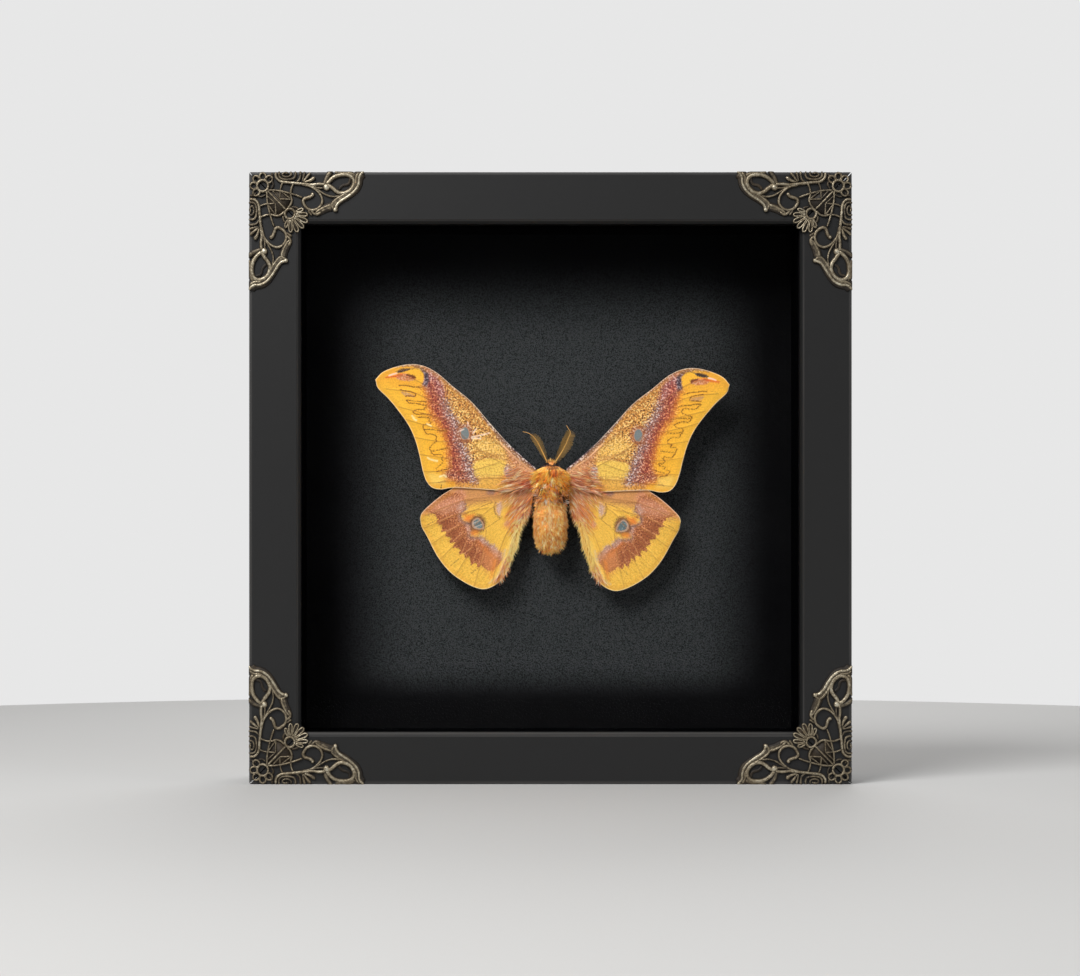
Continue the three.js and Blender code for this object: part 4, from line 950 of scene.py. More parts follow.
def endTree(tree, geometry, material):
    real = geo(tree, "GeometryNodeRealizeInstances", {0: geometry}).outputs[0]
    painted = geo(tree, "GeometryNodeSetMaterial", {0: real, 2: material}).outputs[0]
    smooth = geo(tree, "GeometryNodeSetShadeSmooth", {0: painted}).outputs[0]
    geo(tree, "NodeGroupOutput", {0: smooth})


def grown(name, source, tree, **sizes):
    # Runs the tree on the source object and keeps the result as a plain mesh piece
    modifier = source.modifiers.new(name, "NODES")
    modifier.node_group = tree
    sockets = {item.name: item.identifier for item in tree.interface.items_tree
               if item.in_out == "INPUT"}
    for key, value in sizes.items():
        modifier[sockets[key]] = value
    bpy.context.view_layer.update()
    ready = source.evaluated_get(bpy.context.evaluated_depsgraph_get())
    mesh = bpy.data.meshes.new_from_object(ready)
    source.modifiers.remove(modifier)
    bpy.data.objects.remove(source)
    piece = bpy.data.objects.new(name, mesh)
    bpy.context.scene.collection.objects.link(piece)
    return piece


def taperedHair(tree, radius, bend, segments, tipShare):
    # A unit hair along +Z, bent towards +X and thinner at its tip
    end = geo(tree, "ShaderNodeCombineXYZ", {0: bend, 2: 1.0}).outputs[0]
    path = geo(tree, "GeometryNodeCurveQuadraticBezier",
               {"Resolution": segments, "Start": (0, 0, 0), "Middle": (0, 0, 0.6),
                "End": end}).outputs[0]
    along = geo(tree, "GeometryNodeSplineParameter").outputs["Factor"]
    path = geo(tree, "GeometryNodeStoreNamedAttribute", {0: path, 2: "hairAlong", 3: along},
               data_type="FLOAT", domain="POINT").outputs[0]
    taper = geoMath(tree, "MULTIPLY", radius, geoMath(tree, "SUBTRACT", 1.0, geoMath(
        tree, "MULTIPLY", geoMath(tree, "POWER", along, 1.5), 1 - tipShare)))
    ring = geo(tree, "GeometryNodeCurvePrimitiveCircle", {"Resolution": 3, "Radius": 1.0}).outputs[0]
    return geo(tree, "GeometryNodeCurveToMesh",
               {"Curve": path, "Profile Curve": ring, "Scale": taper, "Fill Caps": True}).outputs[0]


def furTree(kind, material):
    tree, given = startTree(kind + "Fur", Density=1.0, Length=1.0, Thickness=0.05, Bend=0.3, Spread=0.3,
                            Seed=1, Locks=1000.0)
    amount = geo(tree, "GeometryNodeInputNamedAttribute", {0: "furAmount"},
                 data_type="FLOAT").outputs[0]
    longness = geo(tree, "GeometryNodeInputNamedAttribute", {0: "furLength"},
                   data_type="FLOAT").outputs[0]
    comb = geo(tree, "GeometryNodeInputNamedAttribute", {0: "comb"},
               data_type="FLOAT_VECTOR").outputs[0]
    roots = geo(tree, "GeometryNodeDistributePointsOnFaces", {
        "Mesh": given["Geometry"],
        "Density": geoMath(tree, "MULTIPLY", given["Density"], amount),
        "Seed": given["Seed"],
    }).outputs["Points"]
    spread = geo(tree, "ShaderNodeCombineXYZ", dict.fromkeys(range(3), given["Spread"])).outputs[0]
    stray = geoVector(tree, "MULTIPLY", geoRandom(tree, (-1, -1, -1), (1, 1, 1), given["Seed"], True),
                      spread)
    aim = geoVector(tree, "ADD", comb, stray)
    turn = geo(tree, "FunctionNodeAlignRotationToVector", {"Vector": aim}, axis="Z").outputs[0]
    spin = geo(tree, "ShaderNodeCombineXYZ", {2: geoRandom(tree, -3.1, 3.1, 5)}).outputs[0]
    turn = geo(tree, "FunctionNodeRotateRotation", {0: turn, 1: spin},
               rotation_space="LOCAL").outputs[0]
    size = geoMath(tree, "MULTIPLY", geoMath(tree, "MULTIPLY", given["Length"], longness),
                   geoRandom(tree, 0.65, 1.2, 7))
    hair = taperedHair(tree, given["Thickness"], given["Bend"], 3, 0.15)
    hairs = geo(tree, "GeometryNodeInstanceOnPoints",
                {"Points": roots, "Instance": hair, "Rotation": turn, "Scale": size}).outputs[0]
    # Hairs that stand together share most of their tone, so the fur shows locks
    near = geo(tree, "ShaderNodeTexNoise", {"Scale": given["Locks"], "Detail": 1.0}).outputs[0]
    lock = geo(tree, "ShaderNodeMapRange", {0: near, 1: 0.36, 2: 0.64, 3: -0.12, 4: 0.72}).outputs[0]
    tone = geoMath(tree, "ADD", lock, geoRandom(tree, 0.0, 0.4, 9))
    hairs = geo(tree, "GeometryNodeStoreNamedAttribute", {0: hairs, 2: "hairTone", 3: tone},
                data_type="FLOAT", domain="INSTANCE").outputs[0]
    endTree(tree, hairs, material)
    return tree


# The body of the moth: a lathed trunk under fur, with eyes and folded legs

body = {
    "rings": 88, "sides": 56, "depthRatio": 0.78,
    "profile": [(0, -18.5), (1.6, -18.2), (3.0, -17.4), (3.8, -16.2), (4.3, -14.6), (4.45, -12.2),
                (4.35, -9.6), (4.05, -7.4), (3.95, -5.8), (3.95, -4.2), (4.1, -2.4), (4.1, -0.4),
                (4.15, 1.4), (3.6, 2.6), (2.4, 3.4), (1.25, 4.0), (0.75, 4.7), (0.4, 5.1), (0, 5.2)],
    "segment": 1.75,  # length of one ring of the abdomen
    "eyeRadius": 0.55,
    "eyePlace": (1.05, -0.25, 4.2),
    "eyeRings": 14, "eyeSides": 18,
    "legRadius": 0.28,
    "legRings": 22, "legSides": 8,
    "legs": [(2.2, 2.4, 0.2), (0.2, -1.6, -3.8), (-1.8, -5.2, -8.6)],  # start, knee and foot heights
    # places along a folded leg, out from the middle and behind it
    "legFold": [(1.2, 2.2), (2.6, 3.6), (3, 4.1), (2.2, 4.6), (1.3, 4.9)],
}
fur = {
    # between: heights on the trunk
    # lying: outwards, down, away from the nape, and stray waves with their pitch
    "thorax": {"between": (-4.6, 3.6), "vee": 0.62, "lying": (0.28, 0.25, 0.85, 0.5, 1.2),
               "ends": (1, 1),
               "sizes": {"Density": 17.0, "Length": 2.2, "Thickness": 0.06, "Bend": 0.3, "Spread": 0.22,
                         "Seed": 3}},
    "waist": {"between": (-6.2, -1.2), "lying": (0.6, 0.5, 0, 0.95, 0.8), "ends": (1, 1),
              "sizes": {"Density": 18.0, "Length": 1.4, "Thickness": 0.085, "Bend": 0.4, "Spread": 0.5,
                        "Seed": 8}},
    "abdomen": {"between": (-18.8, -5.6), "lying": (0.26, 1.0, 0, 0.42, 1.0), "ends": (1, 2.1),
                 "sizes": {"Density": 19.0, "Length": 1.05, "Thickness": 0.08, "Locks": 2300.0,
                           "Bend": 0.3, "Spread": 0.34, "Seed": 4}},
    "collar": {"between": (3.2, 4.4), "lying": (0.5, -0.2, 0, 0.5, 0.8), "ends": (1, 1),
               "sizes": {"Density": 24.0, "Length": 0.8, "Thickness": 0.09, "Bend": 0.3, "Spread": 0.5,
                         "Seed": 5}},
    "crown": {"between": (4.2, 5.2), "lying": (0.2, -1.0, 0, 0.25, 0.8), "ends": (1, 1),
              "sizes": {"Density": 40.0, "Length": 0.85, "Thickness": 0.1, "Bend": 0.2, "Spread": 0.3,
                        "Seed": 7}},
    "root": {"Density": 9.0, "Length": 3.0, "Thickness": 0.042, "Bend": 0.15, "Spread": 0.12,
             "Locks": 1300.0, "Seed": 6},
}
furShades = {  # from the darkest hairs to the palest: share of the hairs and colour
    "thorax": [(0.0, (160, 60, 16)), (0.16, (255, 132, 32)), (0.42, (255, 184, 52)),
               (0.8, (255, 210, 96)), (1.0, (255, 240, 176))],
    "waist": [(0.0, (22, 15, 14)), (0.24, (50, 28, 20)), (0.28, (226, 124, 56)), (0.5, (255, 180, 92)),
              (0.64, (250, 160, 96)), (0.8, (255, 196, 130)), (0.84, (255, 250, 236)),
              (1.0, (255, 254, 246))],
    "abdomen": [(0.0, (226, 120, 40)), (0.4, (255, 188, 86)), (0.75, (255, 220, 124)),
                (1.0, (255, 250, 210))],
    "collar": [(0.0, (16, 12, 14)), (0.6, (48, 32, 30)), (0.85, (156, 84, 42)), (1.0, (196, 186, 186))],
    "crown": [(0.0, (216, 134, 40)), (0.5, (255, 188, 80)), (1.0, (255, 226, 150))],
    "root": [(0.0, (176, 84, 62)), (0.2, (232, 124, 76)), (0.42, (255, 182, 92)),
             (0.6, (228, 168, 142)), (0.8, (255, 226, 156)), (1.0, (255, 250, 224))],
}
furPatches = {  # middle, half width and half height, colour, strength
    "thorax": [(0.4, 3.2, 1.7, 0.7, (86, 28, 14), 0.85), (0.7, 1.7, 1.2, 1.3, (216, 70, 22), 0.6),
               (-0.5, 1.6, 0.3, 1.2, (110, 44, 18), 0.6), (1.3, 2.0, 0.3, 0.9, (110, 44, 18), 0.55)],
    "waist": [(-2.9, -3.1, 0.6, 0.8, (22, 16, 16), 0.9), (2.4, -3.9, 0.5, 0.7, (24, 16, 16), 0.85),
              (0, -4.6, 2.4, 1.6, (255, 164, 88), 0.45)],
    # the abdomen gets a painted highlight down the middle of its upper part, and painted shade along
    # both flanks
    "abdomen": [(-0.3, -11.4, 0.6, 3.6, (255, 240, 190), 0.45),
                (-4.6, -12, 1.2, 7, (214, 126, 56), 0.35), (4.6, -12, 1.2, 7, (214, 126, 56), 0.35)],
    "collar": [], "crown": [],
    "root": [(-8, -19, 5, 8.5, (255, 236, 150), 0.85), (9, -19, 5, 8.5, (255, 228, 126), 0.8),
             (-6.8, -0.9, 1.5, 1.2, (214, 76, 56), 0.55), (7.4, -0.8, 2.4, 1.6, (206, 96, 74), 0.4),
             (-8, -4, 3.4, 2, (216, 146, 116), 0.4), (8, -4, 3.4, 1.6, (206, 136, 110), 0.4)],
}


def furMaterial(kind):
    material = newMaterial(kind + "Hair")
    tree = material.node_tree
    place = objectPlace(tree)
    parts = put(tree, "SeparateXYZ", {0: place})
    x = calc(tree, "SUBTRACT", calc(tree, "MULTIPLY", parts.outputs[0], 1000), moth["across"])
    z = calc(tree, "SUBTRACT", calc(tree, "MULTIPLY", parts.outputs[2], 1000), moth["up"])
    locks = noise(tree, place, 1300, 2, 0.6)
    ramp = put(tree, "ValToRGB", {0: valueOf(tree, "hairTone")})
    stops = ramp.color_ramp.elements
    shades = furShades[kind]
    stops[0].position, stops[0].color = shades[0][0], rgb(*shades[0][1])
    stops[1].position, stops[1].color = shades[-1][0], rgb(*shades[-1][1])
    for share, tint in shades[1:-1]:
        stops.new(share).color = rgb(*tint)
    colour = ramp.outputs[0]
    for centreX, centreZ, wide, high, tint, strength in furPatches[kind]:
        offX = calc(tree, "DIVIDE", calc(tree, "SUBTRACT", x, centreX), wide)
        offZ = calc(tree, "DIVIDE", calc(tree, "SUBTRACT", z, centreZ), high)
        off = calc(tree, "SQRT", calc(tree, "ADD", calc(tree, "MULTIPLY", offX, offX),
                                      calc(tree, "MULTIPLY", offZ, offZ)))
        off = calc(tree, "ADD", off, span(tree, locks, 0.3, 0.7, -0.35, 0.35, False))
        colour = blend(tree, span(tree, off, 0.65, 1.15, strength, 0), colour, rgb(*tint))
    # Painted shade: each hair darkens towards its root, low in the fur
    along = valueOf(tree, "hairAlong")
    colour = blend(tree, span(tree, along, 0.0, 0.35, 0.2, 0), colour, rgb(150, 70, 24))
    return surface(material, Base_Color=colour, Roughness=0.5, Specular_IOR_Level=0.35,
                   Sheen_Weight=0.15, Sheen_Roughness=0.35)


def cuticleMaterial(name, tint, dark, roughness):
    material = newMaterial(name)
    tree = material.node_tree
    place = objectPlace(tree)
    scales = noise(tree, place, 2400, 3, 0.6)
    tone = blend(tree, scales, rgb(*tint), rgb(*dark))
    return surface(material, Base_Color=tone, Roughness=roughness,
                   Normal=bumped(tree, scales, 0.3, 0.0001))


def tubePlaces(path, radii, sides, squash=1.0):
    # Rings of points around a path, with a point at each end to close it
    path = np.asarray(path, float)
    heading = np.gradient(path, axis=0)
    heading /= np.linalg.norm(heading, axis=1)[:, None]
    upward = np.tile([0.0, 1.0, 0.0], (len(path), 1))
    sideways = np.cross(heading, upward)
    sideways /= np.maximum(np.linalg.norm(sideways, axis=1), 1e-6)[:, None]
    upward = np.cross(sideways, heading)
    angles = np.linspace(0, 2 * math.pi, sides, endpoint=False)
    radii = np.broadcast_to(np.asarray(radii, float), len(path))[:, None, None]
    rings = (path[:, None] + radii * (np.cos(angles)[None, :, None] * sideways[:, None]
             + squash * np.sin(angles)[None, :, None] * upward[:, None]))
    return np.vstack([rings.reshape(-1, 3), path[:1], path[-1:]])


def tubeFaces(count, sides, offset=0):
    faces = []
    for i in range(count - 1):
        for j in range(sides):
            k = (j + 1) % sides
            a, b = offset + i * sides, offset + (i + 1) * sides
            faces.append((a + j, a + k, b + k, b + j))
    start, end = offset + count * sides, offset + count * sides + 1
    for j in range(sides):
        k = (j + 1) % sides
        faces.append((start, offset + k, offset + j))
        faces.append((end, offset + (count - 1) * sides + j, offset + (count - 1) * sides + k))
    return faces


def outwards(piece, joined=True):
    # Turns every face outwards; joined closes the poles and seams first
    shape = bmesh.new()
    shape.from_mesh(piece.data)
    if joined:
        bmesh.ops.remove_doubles(shape, verts=shape.verts, dist=1e-7)
    bmesh.ops.recalc_face_normals(shape, faces=shape.faces)
    shape.to_mesh(piece.data)
    shape.free()
    return piece


def trunkRings():
    rings, sides = body["rings"], body["sides"]
    line = smoothLine(body["profile"], rings)
    radius, height = np.maximum(line[:, 0], 0.01), line[:, 1]
    pinched = 0.12 * np.cos(2 * math.pi * height / body["segment"]) ** 8
    radius = np.where(height < -4.5, radius * (1 - pinched * 0.5), radius)
    angles = np.linspace(0, 2 * math.pi, sides, endpoint=False)
    a, h = np.meshgrid(angles, height)
    r = radius[:, None] * (1 + 0.02 * roughField(3 * a, h, 1.3, 5))
    local = np.stack([r * np.sin(a), -body["depthRatio"] * r * np.cos(a), h], axis=-1)
    return local


def buildTrunk(cuticle):
    local = trunkRings()
    rings, sides = local.shape[:2]
    ends = np.array([[0, 0, local[0, 0, 2]], [0, 0, local[-1, 0, 2]]])
    places = [np.vstack([local.reshape(-1, 3), ends])]
    faces = tubeFaces(rings, sides)
    for start, knee, foot in body["legs"]:
        for side in (-1, 1):
            heights = (start, (start + knee) / 2, knee, (knee + foot) / 2, foot)
            route = [(side * out, behind, up) for (out, behind), up in zip(body["legFold"], heights)]
            path = smoothLine(route, body["legRings"])
            offset = sum(len(part) for part in places)
            taper = 1 - 0.6 * np.linspace(0, 1, body["legRings"])
            joints = 1 + 0.15 * np.sin(np.arange(body["legRings"]) * 1.4)
            places.append(tubePlaces(path, body["legRadius"] * taper * joints, body["legSides"]))
            faces += tubeFaces(body["legRings"], body["legSides"], offset)
    return outwards(meshPiece("body_trunk", mothPlaces(np.vstack(places)), faces, cuticle))


def buildEyes(shiny):
    places, faces = [], []
    for side in (-1, 1):
        angles = np.linspace(-math.pi / 2, math.pi / 2, body["eyeRings"])
        centre = np.array(body["eyePlace"]) * [side, 1, 1]
        path = centre + np.outer(np.sin(angles) * body["eyeRadius"], [0.25 * side, 0, 0.97])
        offset = sum(len(part) for part in places)
        radii = np.maximum(np.cos(angles), 0.02) * body["eyeRadius"]
        places.append(tubePlaces(path, radii, body["eyeSides"]))
        faces += tubeFaces(body["eyeRings"], body["eyeSides"], offset)
    return outwards(meshPiece("eyes", mothPlaces(np.vstack(places)), faces, shiny))


def emitter(name, local, faces, comb, amount, length):
    # A hidden sheet that hairs grow from; values for each of its points
    piece = meshPiece(name, mothPlaces(local), faces, None)
    mesh = piece.data
    for key, kind, values in (("furAmount", "FLOAT", amount), ("furLength", "FLOAT", length)):
        attribute = mesh.attributes.new(key, kind, "POINT")
        attribute.data.foreach_set("value", np.asarray(values, np.float32))
    comb = np.asarray(comb, np.float32)
    mesh.attributes.new("comb", "FLOAT_VECTOR", "POINT").data.foreach_set("vector", comb.ravel())
    return piece


def perMetre(values):
    # Fur sizes given in millimetres and hairs per square millimetre, turned into metres;
    # the thickness is a share of the length
    sizes = dict(values)
    sizes["Density"] = values["Density"] / mm ** 2
    sizes["Length"] = values["Length"] * mm
    return sizes


def trunkFur(kind, tree):
    values = fur[kind]
    low, high = values["between"]
    outwardShare, downShare, napeShare, waveShare, pitch = values["lying"]
    local = trunkRings()
    rings, sides = local.shape[:2]
    flat = local.reshape(-1, 3)
    height = flat[:, 2]
    outward = flat * [1, 1 / body["depthRatio"] ** 2, 0]
    outward /= np.maximum(np.linalg.norm(outward, axis=1), 1e-6)[:, None]
    fromNape = flat * [1, 0.3, 1] - [0, 0, 4.4]
    fromNape /= np.linalg.norm(fromNape, axis=1)[:, None]
    waves = np.stack([roughField(flat[:, 0] + 9 * i, height, pitch, 31 + i) for i in range(3)], axis=1)
    comb = (outward * outwardShare + fromNape * napeShare + waves * waveShare
            + np.array([0, 0, -1.0]) * downShare)
    # Hairs stand close to the trunk at the tail end and run on past it
    tail = np.clip((-height - 16) / 2.5, 0, 1)
    comb = comb * (1 - 0.6 * tail[:, None]) + np.array([0, 0, -1.0]) * tail[:, None]
    ragged = 0.6 * roughField(flat[:, 0], height, 1.1, 37)
    low = low + values.get("vee", 0) * np.abs(flat[:, 0]) + ragged
    amount = np.clip((height - low) / 0.4, 0, 1) * np.clip((high - height) / 0.4, 0, 1)
    amount = amount * np.clip(0.65 - flat[:, 1] / 4, 0.2, 1)
    length = values["ends"][0] * (1 - tail) + values["ends"][1] * tail
    faces = [face for face in tubeFaces(rings, sides) if len(face) == 4]
    source = emitter(kind + "Skin", flat, faces, comb, amount, length)
    return grown(kind + "_fur", source, tree, **perMetre(values["sizes"]))


rootSheets = (  # wing, part of its length, part of its width, and how the hairs lie
    (forewing, (0.0, 0.15), (0.3, 1.0), (1.0, -0.15, -0.3)),
    (hindwing, (0.0, 0.27), (0.0, 0.9), (0.72, -0.15, -0.9)),
)
rootFringe = {"from": 0.02, "to": 0.42, "steps": 60}  # along the hindwing's inner margin


def rootFur(name, side, values, tree):
    # Long hairs from the thorax over the wing roots and down the inner margins of the hindwings
    local, comb, amount, length, faces = [], [], [], [], []
    for shape, (sFrom, sTo), (tFrom, tTo), lie in rootSheets:
        steps, rows = 24, 24
        front = smoothLine(shape["front"], 201)
        rear = smoothLine(shape["rear"], 201)
        s, t = np.meshgrid(np.linspace(sFrom, sTo, steps), np.linspace(tFrom, tTo, rows), indexing="ij")
        step, across = (s * 200).astype(int), t[..., None]
        place = front[step] * (1 - across) + rear[step] * across
        depth = shape["depth"](s, t) - 0.12
        sheet = np.stack([side * place[..., 0], depth, place[..., 1]], axis=-1).reshape(-1, 3)
        offset = sum(len(part) for part in local)
        grid = np.arange(steps * rows).reshape(steps, rows) + offset
        faces += np.stack([grid[:-1, :-1], grid[1:, :-1], grid[1:, 1:], grid[:-1, 1:]],
                          axis=-1).reshape(-1, 4).tolist()
        local.append(sheet)
        wave = roughField(place[..., 0], place[..., 1], 1.6, 41).ravel()
        lying = np.array([side * lie[0], lie[1], lie[2]])
        comb.append(lying + np.stack([0.18 * wave, 0 * wave, -0.22 * wave], axis=1))
        amount.append(np.clip(1.15 - (s.ravel() - sFrom) / (sTo - sFrom), 0, 1) ** 1.2)
        length.append(0.5 + 0.5 * t.ravel())
    # The inner margin of the hindwing carries a fringe all the way down
    rear = smoothLine(hindwing["rear"], 201)
    count = rootFringe["steps"]
    share = np.linspace(rootFringe["from"], rootFringe["to"], count)
    edge = rear[(share * 200).astype(int)]
    inwards = np.stack([edge + [0.15, 0], edge + [1.8, 0.3]], axis=1)
    depth = hindwing["depth"](share, 1.0) - 0.14
    strip = np.stack([side * inwards[..., 0], np.repeat(depth[:, None], 2, 1), inwards[..., 1]],
                     axis=-1)
    offset = sum(len(part) for part in local)
    grid = np.arange(2 * count).reshape(count, 2) + offset
    faces += np.stack([grid[:-1, 0], grid[1:, 0], grid[1:, 1], grid[:-1, 1]], axis=-1).tolist()
    local.append(strip.reshape(-1, 3))
    inwardsDown = np.tile([[side * -0.75, -0.1, -0.8], [side * 0.1, -0.14, -1.0]], (count, 1))
    comb.append(inwardsDown + np.repeat(share, 2)[:, None] * [side * 1.1, 0, 0.1])
    amount.append(np.full(2 * count, 1.8))
    length.append(np.tile([0.42, 0.8], count))
    source = emitter(name + "Skin", np.vstack(local), faces, np.vstack(comb), np.concatenate(amount),
                     np.concatenate(length))
    return grown(name, source, tree, **perMetre(values))


cuticle = cuticleMaterial("tanCuticle", (246, 170, 88), (214, 128, 58), 0.6)
eyeShine = cuticleMaterial("darkEye", (26, 20, 18), (44, 32, 26), 0.18)
hairs = {kind: furTree(kind, furMaterial(kind)) for kind in furShades}
trunk = buildTrunk(cuticle)
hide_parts("moth_body")
bodyPieces = [trunk, buildEyes(eyeShine)]
bodyPieces += [trunkFur(kind, hairs[kind])
               for kind in ("thorax", "waist", "abdomen", "collar", "crown")]
bodyPieces += [rootFur("wing_root_fur_left", -1, fur["root"], hairs["root"]),
               rootFur("wing_root_fur_right", 1, fur["root"], hairs["root"])]
for piece in bodyPieces:
    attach(piece, "root")
print("body, eyes and fur are grown:", [len(piece.data.polygons) for piece in bodyPieces], "faces")


# Antennae: a shaft with a comb of fine branches on both sides

antennae = {
    "left": {"shaft": [(-1.2, 5.0), (-2.5, 7.7), (-3.7, 10), (-5.1, 11.8), (-6.5, 12.7), (-7.9, 13)],
             "reach": 1.45, "branches": 46, "radius": 0.15, "sweep": 0.75, "bareFrom": 0.82},
    "right": {"shaft": [(1.1, 4.9), (2.73, 7.5), (3.95, 9.9), (4.7, 11.8), (5.1, 12.9), (4.6, 13.9),
                        (3.95, 14.9)],
              "reach": 1.85, "branches": 50, "radius": 0.15, "sweep": 0.6, "bareFrom": 0.9},
}


def antennaTree(shaftMaterial, branchMaterial):
    tree, given = startTree("combedAntenna", Branches=28, Reach=1.0, ShaftRadius=0.15,
                            BranchRadius=0.07, Sweep=0.6, BareFrom=0.8)
    path = geo(tree, "GeometryNodeMeshToCurve", {0: given["Geometry"]}).outputs[0]
    along = geo(tree, "GeometryNodeSplineParameter").outputs["Factor"]
    tangent = geo(tree, "GeometryNodeInputTangent").outputs[0]
    ring = geo(tree, "GeometryNodeCurvePrimitiveCircle", {"Resolution": 8, "Radius": 1.0}).outputs[0]
    thinning = geoMath(tree, "MULTIPLY", given["ShaftRadius"],
                       geoMath(tree, "SUBTRACT", 1.0, geoMath(tree, "MULTIPLY", along, 0.6)))
    shaft = geo(tree, "GeometryNodeCurveToMesh",
                {"Curve": path, "Profile Curve": ring, "Scale": thinning, "Fill Caps": True}).outputs[0]
    shaft = geo(tree, "GeometryNodeSetMaterial", {0: shaft, 2: shaftMaterial}).outputs[0]
    points = geo(tree, "GeometryNodeResampleCurve",
                 {"Curve": path, "Count": given["Branches"]}).outputs[0]
    arch = geoMath(tree, "ADD", geoMath(tree, "MULTIPLY", along, 0.93), 0.06)
    arch = geoMath(tree, "SINE", geoMath(tree, "MULTIPLY", arch, math.pi))
    arch = geoMath(tree, "POWER", arch, 0.65)
    size = geoMath(tree, "MULTIPLY", given["Reach"], arch)
    size = geoMath(tree, "MULTIPLY", size, geoRandom(tree, 0.88, 1.08, 3))
    full = geoMath(tree, "SUBTRACT", given["BareFrom"], 0.16)
    bare = geo(tree, "ShaderNodeMapRange",
               {0: along, 1: given["BareFrom"], 2: full, 3: 0.06, 4: 1.0}).outputs[0]
    size = geoMath(tree, "MULTIPLY", size, bare)
    branch = taperedHair(tree, given["BranchRadius"], 0.12, 4, 0.5)
    sidesOut = []
    for facing in (-1.0, 1.0):
        across = geoVector(tree, "CROSS_PRODUCT", tangent, (0, facing, 0))
        forward = geo(tree, "ShaderNodeVectorMath", {0: tangent, "Scale": given["Sweep"]},
                      operation="SCALE").outputs[0]
        aim = geoVector(tree, "ADD", geoVector(tree, "ADD", across, forward), (0, -0.18, 0))
        turn = geo(tree, "FunctionNodeAlignRotationToVector", {"Vector": aim}, axis="Z").outputs[0]
        sidesOut.append(geo(tree, "GeometryNodeInstanceOnPoints",
                            {"Points": points, "Instance": branch, "Rotation": turn,
                             "Scale": size}).outputs[0])
    joined = tree.nodes.new("GeometryNodeJoinGeometry")
    for socket in sidesOut:
        tree.links.new(socket, joined.inputs[0])
    combs = geo(tree, "GeometryNodeSetMaterial", {0: joined.outputs[0], 2: branchMaterial}).outputs[0]
    both = tree.nodes.new("GeometryNodeJoinGeometry")
    tree.links.new(shaft, both.inputs[0])
    tree.links.new(combs, both.inputs[0])
    real = geo(tree, "GeometryNodeRealizeInstances", {0: both.outputs[0]}).outputs[0]
    smooth = geo(tree, "GeometryNodeSetShadeSmooth", {0: real}).outputs[0]
    geo(tree, "NodeGroupOutput", {0: smooth})
    return tree


paleShaft = cuticleMaterial("paleShaft", (250, 196, 106), (206, 146, 66), 0.5)
oliveComb = cuticleMaterial("oliveComb", (176, 138, 66), (104, 78, 36), 0.6)
combs = antennaTree(paleShaft, oliveComb)
shaftSteps, shaftDepth = 64, -0.5
for sideName, values in antennae.items():
    path = smoothLine([(x, shaftDepth, z) for x, z in values["shaft"]], shaftSteps)
    guide = bpy.data.meshes.new(sideName + "AntennaPath")
    guide.from_pydata(mothPlaces(path).tolist(), [(i, i + 1) for i in range(shaftSteps - 1)], [])
    source = bpy.data.objects.new(sideName + "AntennaPath", guide)
    bpy.context.scene.collection.objects.link(source)
    feather = grown("antenna_comb_" + sideName, source, combs, Branches=values["branches"],
                    Reach=values["reach"] * mm, ShaftRadius=values["radius"] * mm,
                    Sweep=values["sweep"], BareFrom=values["bareFrom"])
    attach(feather, "root")
    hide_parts("antenna_" + sideName)
print("antennae have their combs")


# Filigree corner castings. Strands are (across, up) from the frame's outer corner for the upright arm;
# the level arm is the same with the two swapped, and everything is cut off flush at the frame's sides.

